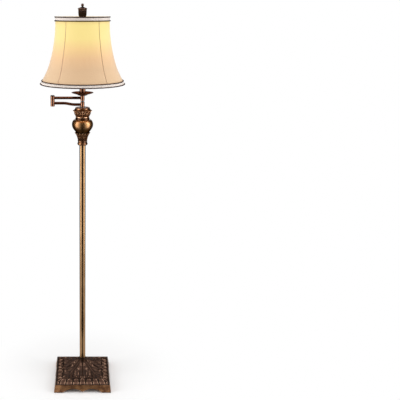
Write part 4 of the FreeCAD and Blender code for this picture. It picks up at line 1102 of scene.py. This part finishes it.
    def build(self) -> None:
        """Builds the carved lid and the apron under it, each a closed piece."""
        carving, apron = BASE_CARVING.build(), APRON.build()
        mesh = bmesh.new()
        bmesh.ops.create_grid(mesh, x_segments=self.cells, y_segments=self.cells, size=self.border_foot)
        store_relief(mesh, self.carve)
        inner = [vert for vert in mesh.verts if not vert.is_boundary]
        for _ in range(self.smoothing):
            bmesh.ops.smooth_vert(mesh, verts=inner, factor=0.5, use_axis_x=True, use_axis_y=True,
                                  use_axis_z=True)
        edges = [edge for edge in mesh.edges if edge.is_boundary]
        lip_z = self.border_z - self.lip_drop
        lip = 1 - self.lip_width / self.border_foot
        for scale, height in ((1.0, lip_z), (lip, lip_z), (1.0, self.apron_cut_z + 0.05)):
            verts, edges = extrude_rim(mesh, edges)
            bmesh.ops.scale(mesh, vec=(scale, scale, 1), verts=verts)
            for vert in verts:
                vert.co.z = height
        bmesh.ops.contextual_create(mesh, geom=edges)
        bmesh.ops.recalc_face_normals(mesh, faces=mesh.faces)
        make_piece(mesh, "base_carving", "base", carving, ("base_casting",))
        self.build_apron(apron)

    def build_apron(self, material: Material) -> None:
        """Builds the apron and the hollow under the base, up to the carved lid.

        Args:
            material: its finish.
        """
        mesh = bmesh.new()
        mesh.from_mesh(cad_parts["base_casting"].data)
        bmesh.ops.scale(mesh, vec=(1 / MM, 1 / MM, 1 / MM), verts=mesh.verts)
        bmesh.ops.remove_doubles(mesh, verts=mesh.verts, dist=MERGE_GAP)
        parts = mesh.verts[:] + mesh.edges[:] + mesh.faces[:]
        bmesh.ops.bisect_plane(mesh, geom=parts, dist=MERGE_GAP, plane_co=(0, 0, self.apron_cut_z),
                               plane_no=(0, 0, 1), clear_outer=True)
        rim = [edge for edge in mesh.edges if edge.is_boundary]
        bmesh.ops.triangle_fill(mesh, use_beauty=True, use_dissolve=False, edges=rim)
        bmesh.ops.recalc_face_normals(mesh, faces=mesh.faces)
        make_piece(mesh, "base_apron", "base", material, ("base_casting",))


@dataclass
class CarvedTurning:
    """A turned piece with leaves carved round it, in millimetres.

    Attributes:
        name: the piece's name.
        foot: its foot's height, from which its other heights are counted.
        outer: radii and heights of its outer side, from the foot up.
        inner: radii and heights that close the section, from the head down.
        leaf: the leaf that goes round it.
        span: the heights of a leaf's foot and tip.
        depth: how far the leaves stand out.
        curl: how far their tips curl outwards.
        slot: a material slot's name; not used.
        replaced: the CAD nodes that it replaces.
        rise: how far tips stand over the rim.
        crests: the heights of plain rings, whose tops are rubbed and painted as highlights.
        body: the body it rides on.
        steps: how many segments go round.
        fine: how many points each span of the outer side gets.
        count: how many leaves there are.
        plain_relief: the relief of what isn't carved.
        crest_width: how far from a crest the rubbing reaches.
        behind: how far the leaves between stand out, as a share of those in front.
        gather: how narrow the leaves are; higher is narrower.
        tip_rub_and_highlight: how much more their tips are rubbed and painted as highlights.
    """

    name: str
    foot: float
    outer: Line
    inner: Line
    leaf: Acanthus
    span: tuple[float, float]
    depth: float
    curl: float
    slot: str
    replaced: tuple[str, ...]
    rise: float = 0.0
    crests: tuple[float, ...] = ()
    body: str = "base"
    steps: int = 256
    fine: int = 9
    count: int = 8
    plain_relief: float = 0.34
    crest_width: float = 1.6
    behind: float = 0.72
    gather: float = 2.1
    tip_rub_and_highlight: float = 0.45

    def build(self, material: Material) -> None:
        """Spins the section and carves it.

        Args:
            material: its finish.
        """
        outer = lifted(self.outer, self.foot)
        line = smooth_line(outer, self.fine) + [outer[-1]]
        mesh = spin_outline(line + lifted(self.inner, self.foot), self.steps)
        radii = sorted(line, key=lambda point: point[1])
        store_relief(mesh, lambda spot: self.carve(spot, radii))
        make_piece(mesh, self.name, self.body, material, self.replaced)

    def carve(self, spot: Vector, radii: Outline) -> tuple[Vector, float]:
        """Carves one point.

        Args:
            spot: the point.
            radii: the uncarved outer side, by rising height.

        Returns:
            How it moves out with the leaves, and its relief.
        """
        radius = math.hypot(spot.x, spot.y)
        # Crest rings and leaf tips get rubbing with a painted highlight.
        plain = self.plain_relief + sum(0.5 * bell(spot.z, self.foot + crest, self.crest_width)
                                        for crest in self.crests)
        if radius < value_along(radii, spot.z, 0.0) - 0.2 or radius < MERGE_GAP:
            return Vector(), plain
        foot, tip = (self.foot + height for height in self.span)
        along = (spot.z - foot) / (tip - foot)
        ground = plain * (ease(along, 0.08, 0.0) + ease(along, 0.98, 1.1))
        turns = from_front(spot) * self.count / FULL_TURN
        best, relief = 0.0, 0.0
        for shift, share in ((0.5, self.behind), (0.0, 1.0)):
            height, ridge = self.leaf.height(along, abs(off_middle(turns - shift)) * self.gather)
            if height * share > best:
                best, relief = height * share, ridge
        tipped = bell(along, 0.9, 0.1) * min(1.0, best * 2)
        outward = Vector((spot.x, spot.y, 0)).normalized() * (self.depth * best + self.curl * tipped)
        relief = max(ground, relief + self.tip_rub_and_highlight * tipped)
        return outward + Vector((0, 0, self.rise * tipped)), min(1.0, relief)


@dataclass
class Urn:
    """The urn's carved cup and collar. Its bowl, rings and cap are CAD nodes.

    Attributes:
        cup_z: the cup's foot, in millimetres.
        collar_z: the collar's foot.
        bore: the radius of the hole for the threaded pipe.
    """

    cup_z: float = 1076.0
    collar_z: float = 1166.0
    bore: float = 5.2

    def build(self) -> None:
        """Builds both."""
        CarvedTurning(
            "urn_acanthus_cup", self.cup_z,
            outer=((16.4, 0.0), (17.6, 6.0), (19.6, 14.0), (23.0, 22.0), (26.2, 28.0), (27.2, 30.0)),
            inner=((26.4, 30.2), (20.4, 22.2), (self.bore, 22.2), (self.bore, 0.0)),
            leaf=Acanthus(3.5, 0.34, 0.5), span=(-2.0, 32.0), depth=2.6, curl=2.2, rise=1.6,
            slot="carved_gold", replaced=("acanthus_cup",)).build(CUP_CARVING.build())
        CarvedTurning(
            "urn_leaf_collar", self.collar_z,
            outer=((25.4, 0.0), (27.2, 3.4), (25.6, 7.0), (27.8, 11.0), (30.4, 17.0), (31.6, 24.5),
                   (34.2, 28.5), (32.6, 33.0)),
            inner=((self.bore, 33.0), (self.bore, 0.0)),
            leaf=Acanthus(2.4, 0.36, 0.5), span=(6.0, 30.0), depth=2.6, curl=2.0, crests=(3.5, 30.0),
            slot="carved_gold", replaced=("leaf_collar",)).build(COLLAR_CARVING.build())


@dataclass
class SwingCaps:
    """The dark caps that close the swing barrels, in millimetres.

    Attributes:
        plug: the radius of the part inside the barrel.
        neck: how far that part stands under the rim.
        edge: the radius of the rounded upper edge.
        arcs: how many spans that edge has.
        steps: how many segments go round.
    """

    plug: float = 6.3
    neck: float = 2.0
    edge: float = 1.6
    arcs: int = 6
    steps: int = 64

    def build(self) -> None:
        """Turns a cap to each CAD cap's size."""
        material = DARK_CAP.build()
        for node, body in (("pivot_cap", "lower_arm"), ("elbow_cap", "upper_arm")):
            low, high = (Vector(corner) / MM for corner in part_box(node))
            radius = (high.x - low.x) / 2
            turns = [math.pi / 2 * step / self.arcs for step in range(self.arcs + 1)]
            centre, edge_z, rim_z = radius - self.edge, high.z - self.edge, low.z + self.neck
            rounded = [(centre + self.edge * math.cos(turn), edge_z + self.edge * math.sin(turn))
                       for turn in turns]
            section = [(0.0, low.z), (self.plug, low.z), (self.plug, rim_z), (radius, rim_z), *rounded,
                       (0.0, high.z)]
            mesh = spin_outline(section, self.steps)
            middle = (low + high) / 2
            bmesh.ops.translate(mesh, verts=mesh.verts, vec=(middle.x, middle.y, 0))
            make_piece(mesh, node + "_turned", body, material, (node,))


@dataclass
class Finial:
    """The carved finial on the harp's stud, in millimetres.

    Attributes:
        bore: the radius of its threaded hole.
        bore_depth: how deep that hole is.
    """

    bore: float = 3.05
    bore_depth: float = 9.0

    def build(self) -> None:
        """Carves it."""
        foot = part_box("finial")[0][2] / MM
        CarvedTurning(
            "finial_carving", foot,
            outer=((8.2, 0.0), (8.4, 1.4), (10.2, 3.4), (12.6, 7.0), (13.8, 12.0), (14.4, 20.0),
                   (14.4, 27.0), (14.0, 31.0), (17.2, 32.6), (17.8, 34.6), (15.4, 36.2), (9.0, 38.6),
                   (4.4, 40.8), (3.4, 42.2), (4.6, 43.4), (5.4, 47.4), (4.0, 51.4), (0.0, 52.9)),
            inner=((0.0, self.bore_depth), (self.bore, self.bore_depth), (self.bore, 0.0)),
            leaf=Acanthus(2.5, 0.3, 0.45), span=(5.0, 32.0), depth=1.9, curl=0.6, crests=(1.0, 34.2, 48.0),
            slot="finial_bronze", replaced=("finial",), body="upper_arm", steps=192, fine=5,
        ).build(FINIAL_CARVING.build())


@dataclass
class BellShade:
    """The bell shade: its silk, ribbons, pipings and seam cords, in millimetres.

    Flare shares say how far down the shade a point is, and how much of its flare it has there.
    """

    foot_z: float = 1297.6
    height: float = 252.4
    top_radius: float = 102.5
    bottom_radius: float = 162.5
    panels: int = 5
    thick: float = 1.2
    panel_sag: float = 3.2
    seam_draw: float = 0.5
    seam_draw_width: float = 4.0
    top_band: float = 17.4
    bottom_band: float = 15.4
    band_thick: float = 0.8
    band_gap: float = 0.1
    band_edge: float = 0.05
    band_spans: int = 8
    piping_radius: float = 1.75
    piping_lap: float = 0.4
    piping_segments: int = 10
    piping_steps: int = 900
    twist_pitch: float = 5.0
    twist_swell: float = 0.13
    seam_radius: float = 0.85
    seam_seat: float = 0.4
    seam_lap: float = 0.5
    seam_segments: int = 8
    seam_spans: int = 40
    steps: int = 240
    flare_shares: Line = (
        (0.0, 0.0), (0.18, 0.03), (0.37, 0.14), (0.56, 0.3), (0.74, 0.505), (0.83, 0.655),
        (0.93, 0.865), (1.0, 1.0))

    def line(self, offset: float, steps: int = 8) -> Outline:
        """The bell line.

        Args:
            offset: how far it stands off from the silk.
            steps: how many points each span gets.

        Returns:
            Its radii and heights, from the top down.
        """
        flare = self.bottom_radius - self.top_radius
        points = [(self.top_radius + flare * out + offset, self.foot_z + self.height * (1 - down))
                  for down, out in self.flare_shares]
        return smooth_line(points, steps) + [points[-1]]

    def radius(self, height: float) -> float:
        """The silk's outer radius at a height."""
        return value_along(self.line(0.0, 16)[::-1], height, self.bottom_radius)

    def build_silk(self, material: Material) -> None:
        """Builds the silk as one closed cover, drawn in at each seam and flatter between them.

        Args:
            material: its finish.
        """
        outline = self.line(0.0) + list(reversed(self.line(-self.thick)))
        mesh = spin_outline(outline, self.steps)
        pitch = FULL_TURN / self.panels
        for vert in mesh.verts:
            off_seam = abs((from_front(vert.co) / pitch) % 1 - 0.5)
            drawn = self.seam_draw * bell(off_seam * pitch * vert.co.xy.length, 0, self.seam_draw_width)
            middle = math.sin(math.pi * (vert.co.z - self.foot_z) / self.height) ** 2
            drawn += self.panel_sag * middle * (1 - (1 - 2 * off_seam) ** 2)
            vert.co.xy *= 1 - drawn / vert.co.xy.length
        piece = make_piece(mesh, "shade_cover", "upper_arm", material, ("shade_panels",))
        around, slope = self.flat_size()

    def flat_size(self) -> tuple[float, float]:
        """Measures the silk laid flat.

        Returns:
            Its mean girth and its length down the bell, in metres.
        """
        line = self.line(0.0)
        spans = [(upper[0] + lower[0], math.dist(upper, lower)) for upper, lower in zip(line, line[1:])]
        slope = sum(length for _, length in spans)
        area = sum(math.pi * radii * length for radii, length in spans)
        return area / slope * MM, slope * MM

    def build_bands(self, material: Material) -> None:
        """Builds a ribbon round the top and one round the bottom.

        Args:
            material: their finish.
        """
        inset = 2 * self.piping_radius - self.piping_lap
        shares = [index / self.band_spans for index in range(self.band_spans + 1)]
        top_low = self.foot_z + self.height - self.top_band
        for name, low, width in (("shade_bottom_ribbon", self.foot_z, self.bottom_band),
                                 ("shade_top_ribbon", top_low, self.top_band)):
            heights = [low + inset + (width - 2 * inset) * share for share in shares]
            inner = [(self.radius(height) + self.band_gap, height) for height in heights]
            outer = [(radius + self.band_edge + self.band_thick * (1 - (2 * share - 1) ** 4) ** 0.5, height)
                     for share, (radius, height) in zip(shares, inner)]
            mesh = spin_outline(outer + inner[::-1], self.steps)
            make_piece(mesh, name, "upper_arm", material, ("shade_bands",))

    def build_pipings(self, material: Material) -> None:
        """Builds a twisted cord along each edge of each ribbon.

        Args:
            material: their finish.
        """
        cord, top = self.piping_radius, self.foot_z + self.height
        places = {"bottom_low": self.foot_z + cord, "bottom_high": self.foot_z + self.bottom_band - cord,
                  "top_low": top - self.top_band + cord, "top_high": top - cord}
        turns = [FULL_TURN * step / self.piping_segments for step in range(self.piping_segments)]
        for place, height in places.items():
            ring = self.radius(height) + cord + self.band_gap
            section = [(ring + cord * math.cos(turn), height + cord * math.sin(turn)) for turn in turns]
            mesh = spin_outline(section, self.piping_steps)
            twists = round(FULL_TURN * ring / self.twist_pitch)
            for vert in mesh.verts:
                out, rise = vert.co.xy.length - ring, vert.co.z - height
                phase = 2 * math.atan2(rise, out) - twists * math.atan2(vert.co.y, vert.co.x)
                swell = 1 + self.twist_swell * math.cos(phase)
                vert.co.xy *= (ring + out * swell) / vert.co.xy.length
                vert.co.z = height + rise * swell
            make_piece(mesh, "shade_piping_" + place, "upper_arm", material,
                       ("shade_piping",))

    def build_seams(self, material: Material) -> None:
        """Builds a fine cord down each seam, between the ribbons. A whole panel faces the front.

        Args:
            material: their finish.
        """
        low = self.foot_z + self.bottom_band - self.seam_lap
        high = self.foot_z + self.height - self.top_band + self.seam_lap
        heights = [low + (high - low) * index / self.seam_spans for index in range(self.seam_spans + 1)]
        stand = self.seam_radius * self.seam_seat
        spots = [Vector((self.radius(height) + stand, 0, height)) for height in heights]
        for number in range(self.panels):
            mesh = bmesh.new()
            made = bmesh.ops.create_circle(mesh, segments=self.seam_segments, radius=self.seam_radius)
            bmesh.ops.translate(mesh, verts=made["verts"], vec=spots[0])
            first = edges = list(mesh.edges)
            for here, there in zip(spots, spots[1:]):
                verts, edges = extrude_rim(mesh, edges)
                bmesh.ops.translate(mesh, verts=verts, vec=there - here)
            for rim in (first, edges):
                bmesh.ops.contextual_create(mesh, geom=rim)
            bmesh.ops.recalc_face_normals(mesh, faces=mesh.faces)
            angle = FULL_TURN / self.panels * (number + 0.5) - math.pi / 2
            bmesh.ops.rotate(mesh, verts=mesh.verts, cent=(0, 0, 0), matrix=Matrix.Rotation(angle, 3, "Z"))
            make_piece(mesh, f"shade_seam_{number + 1}", "upper_arm", material,
                       ("shade_seam_piping",))

    def build(self) -> None:
        """Builds the shade and its trims."""
        self.build_silk(SILK.build())
        self.build_bands(RIBBON.build())
        self.build_pipings(PIPING.build())
        self.build_seams(SEAM_CORD.build())


@dataclass(frozen=True)
class Flag:
    """A dark board that only metal reflects.

    Attributes:
        name: its name.
        half: half its width and height, in metres.
        place: where its middle is.
        tilt: how far it's tilted up from the floor, in degrees.
        turn: how far it's then turned about the upright.
    """

    name: str
    half: tuple[float, float]
    place: tuple[float, float, float]
    tilt: float = 0.0
    turn: float = 0.0

    def matrix(self) -> Matrix:
        """Works out how it stands.

        Returns:
            Its place and turn.
        """
        tilted = Matrix.Rotation(math.radians(self.tilt), 4, "X")
        turned = Matrix.Rotation(math.radians(self.turn), 4, "Z")
        return Matrix.Translation(self.place) @ turned @ tilted


@dataclass(frozen=True)
class Softbox:
    """A rectangular soft light.

    Attributes:
        name: its name.
        place: where it hangs, in metres.
        target: what it points at.
        size: its width and height.
        power: its power, in watts.
    """

    name: str
    place: tuple[float, float, float]
    target: tuple[float, float, float]
    size: tuple[float, float]
    power: float

    def build(self) -> None:
        """Hangs the light."""
        data = bpy.data.lights.new(self.name, "AREA")
        data.shape = "RECTANGLE"
        data.size, data.size_y = self.size
        data.energy = self.power
        light = bpy.data.objects.new(self.name, data)
        light.location = self.place
        aim = Vector(self.target) - Vector(self.place)
        light.rotation_euler = aim.to_track_quat("-Z", "Y").to_euler()
        light.visible_camera = False
        bpy.context.scene.collection.objects.link(light)


@dataclass
class Studio:
    """The pale floor, the dark flags, the soft lights and the camera, with lengths in metres."""

    focal_px: float = 638.5
    image_px: int = 400
    sensor_mm: float = 36.0
    camera_y: float = -2.505
    camera_z: float = 1.5807
    tilt_deg: float = 73.26
    axis_px: float = 82.5
    floor_half: float = 14.0
    floor_tone: float = 0.93
    floor_white_from: float = 0.15
    floor_white_to: float = 0.5
    flag_level: float = 0.018
    fill_level: float = 0.35
    flags: tuple[Flag, ...] = (
        Flag("front_flag", (0.66, 1.4), (0.0, -1.25, 1.4), 90.0),
        Flag("back_flag", (1.4, 0.9), (0.0, 2.2, 2.75), 90.0),
        Flag("back_floor_flag", (1.2, 1.1), (0.0, 1.6, 0.004)),
        Flag("floor_flag", (0.4, 0.45), (0.0, -0.8, 0.004)),
        Flag("foot_flag", (0.1, 0.11), (0.0, -0.25, 0.004)),
        Flag("left_flag", (1.3, 1.4), (-1.3, 0.95, 1.4), 90.0, 70.0),
        Flag("right_flag", (1.3, 1.4), (1.3, 0.95, 1.4), 90.0, 110.0),
    )
    lights: tuple[Softbox, ...] = (
        Softbox("left_softbox", (-1.36, -0.58, 1.36), (0.0, 0.0, 1.36), (0.76, 2.6), 20.0),
        Softbox("right_softbox", (1.36, -0.58, 1.36), (0.0, 0.0, 1.36), (0.76, 2.6), 20.0),
        Softbox("top_softbox", (0.0, 0.3, 3.4), (0.0, 0.0, 0.4), (2.4, 2.4), 44.0),
    )

    def build_camera(self) -> None:
        """Stands the camera where the photograph was taken from."""
        data = bpy.data.cameras.new("studio_camera")
        data.sensor_width = self.sensor_mm
        data.lens = self.focal_px * self.sensor_mm / self.image_px
        data.shift_x = (self.image_px / 2 - self.axis_px) / self.image_px
        camera = bpy.data.objects.new("studio_camera", data)
        camera.location = (0, self.camera_y, self.camera_z)
        camera.rotation_euler = (math.radians(self.tilt_deg), 0, 0)
        bpy.context.scene.collection.objects.link(camera)
        bpy.context.scene.camera = camera

    def build_floor(self) -> None:
        """Lays a wide pale floor that keeps the lamp's shadow and turns white further out."""
        graph = Graph("studio_floor")
        across, along, _ = graph.axes()
        reach = (across ** 2.0 + along ** 2.0) ** 0.5
        tone = graph.noise(scale=0.7, detail=2.0) * 0.01 + self.floor_tone
        near = graph.node("ShaderNodeBsdfDiffuse", None, {"Color": graph.grey(tone)})
        white = graph.node("ShaderNodeEmission", None, {"Color": WHITE, "Strength": 1.0})
        seen = graph.ray("Is Camera Ray", "Is Glossy Ray")
        share = graph.spread(reach, self.floor_white_from, self.floor_white_to) * seen
        mixed = graph.node("ShaderNodeMixShader", None, {0: share, 1: near, 2: white})
        self._stage_plane("studio_floor", graph.close(mixed), (self.floor_half, self.floor_half), Matrix())

    def build_flags(self) -> None:
        """Stands dark flags before, behind and beside the lamp and lays some on the floor."""
        graph = Graph("studio_flag")
        glow = graph.node("ShaderNodeEmission", None, {"Color": WHITE, "Strength": self.flag_level})
        material = graph.close(glow)
        for flag in self.flags:
            plane = self._stage_plane(flag.name, material, flag.half, flag.matrix())
            for ray in ("camera", "diffuse", "transmission", "volume_scatter", "shadow"):
                setattr(plane, "visible_" + ray, False)

    def _stage_plane(self, name: str, material: Material, half: tuple[float, float],
                     place: Matrix) -> bpy.types.Object:
        """Makes a flat rectangle that isn't part of the lamp.

        Args:
            name: its name.
            material: its finish.
            half: half its width and height.
            place: its place and turn.

        Returns:
            The new object.
        """
        mesh = bmesh.new()
        bmesh.ops.create_grid(mesh, x_segments=2, y_segments=2, size=1.0)
        bmesh.ops.scale(mesh, vec=(*half, 1), verts=mesh.verts)
        bmesh.ops.transform(mesh, matrix=place, verts=mesh.verts)
        plane = link_mesh(mesh, name, material)
        return plane

    def build_world(self) -> None:
        """White behind the lamp and in its reflections, and a plain level of fill light."""
        graph = Graph("studio_world", GraphKind.WORLD)
        clear = graph.ray("Is Camera Ray", "Is Glossy Ray", "Is Transmission Ray")
        level = graph.node("ShaderNodeMapRange", None, {"Value": clear, "To Min": self.fill_level})
        light = graph.node("ShaderNodeBackground", None, {"Color": WHITE, "Strength": level})
        bpy.context.scene.world = graph.close(light)

    def build(self) -> None:
        """Builds the whole studio."""
        self.build_camera()
        self.build_floor()
        self.build_flags()
        for light in self.lights:
            light.build()
        self.build_world()
        bpy.context.scene.view_settings.view_transform = "Standard"


def main() -> None:
    """Builds the studio and the lamp, piece by piece."""
    logging.basicConfig(level=logging.INFO)
    Studio().build()
    dress_nodes()
    for assembly in (CarvedBase(), Urn(), SwingCaps(), Finial(), BellShade()):
        assembly.build()


if __name__ == "__main__":
    main()
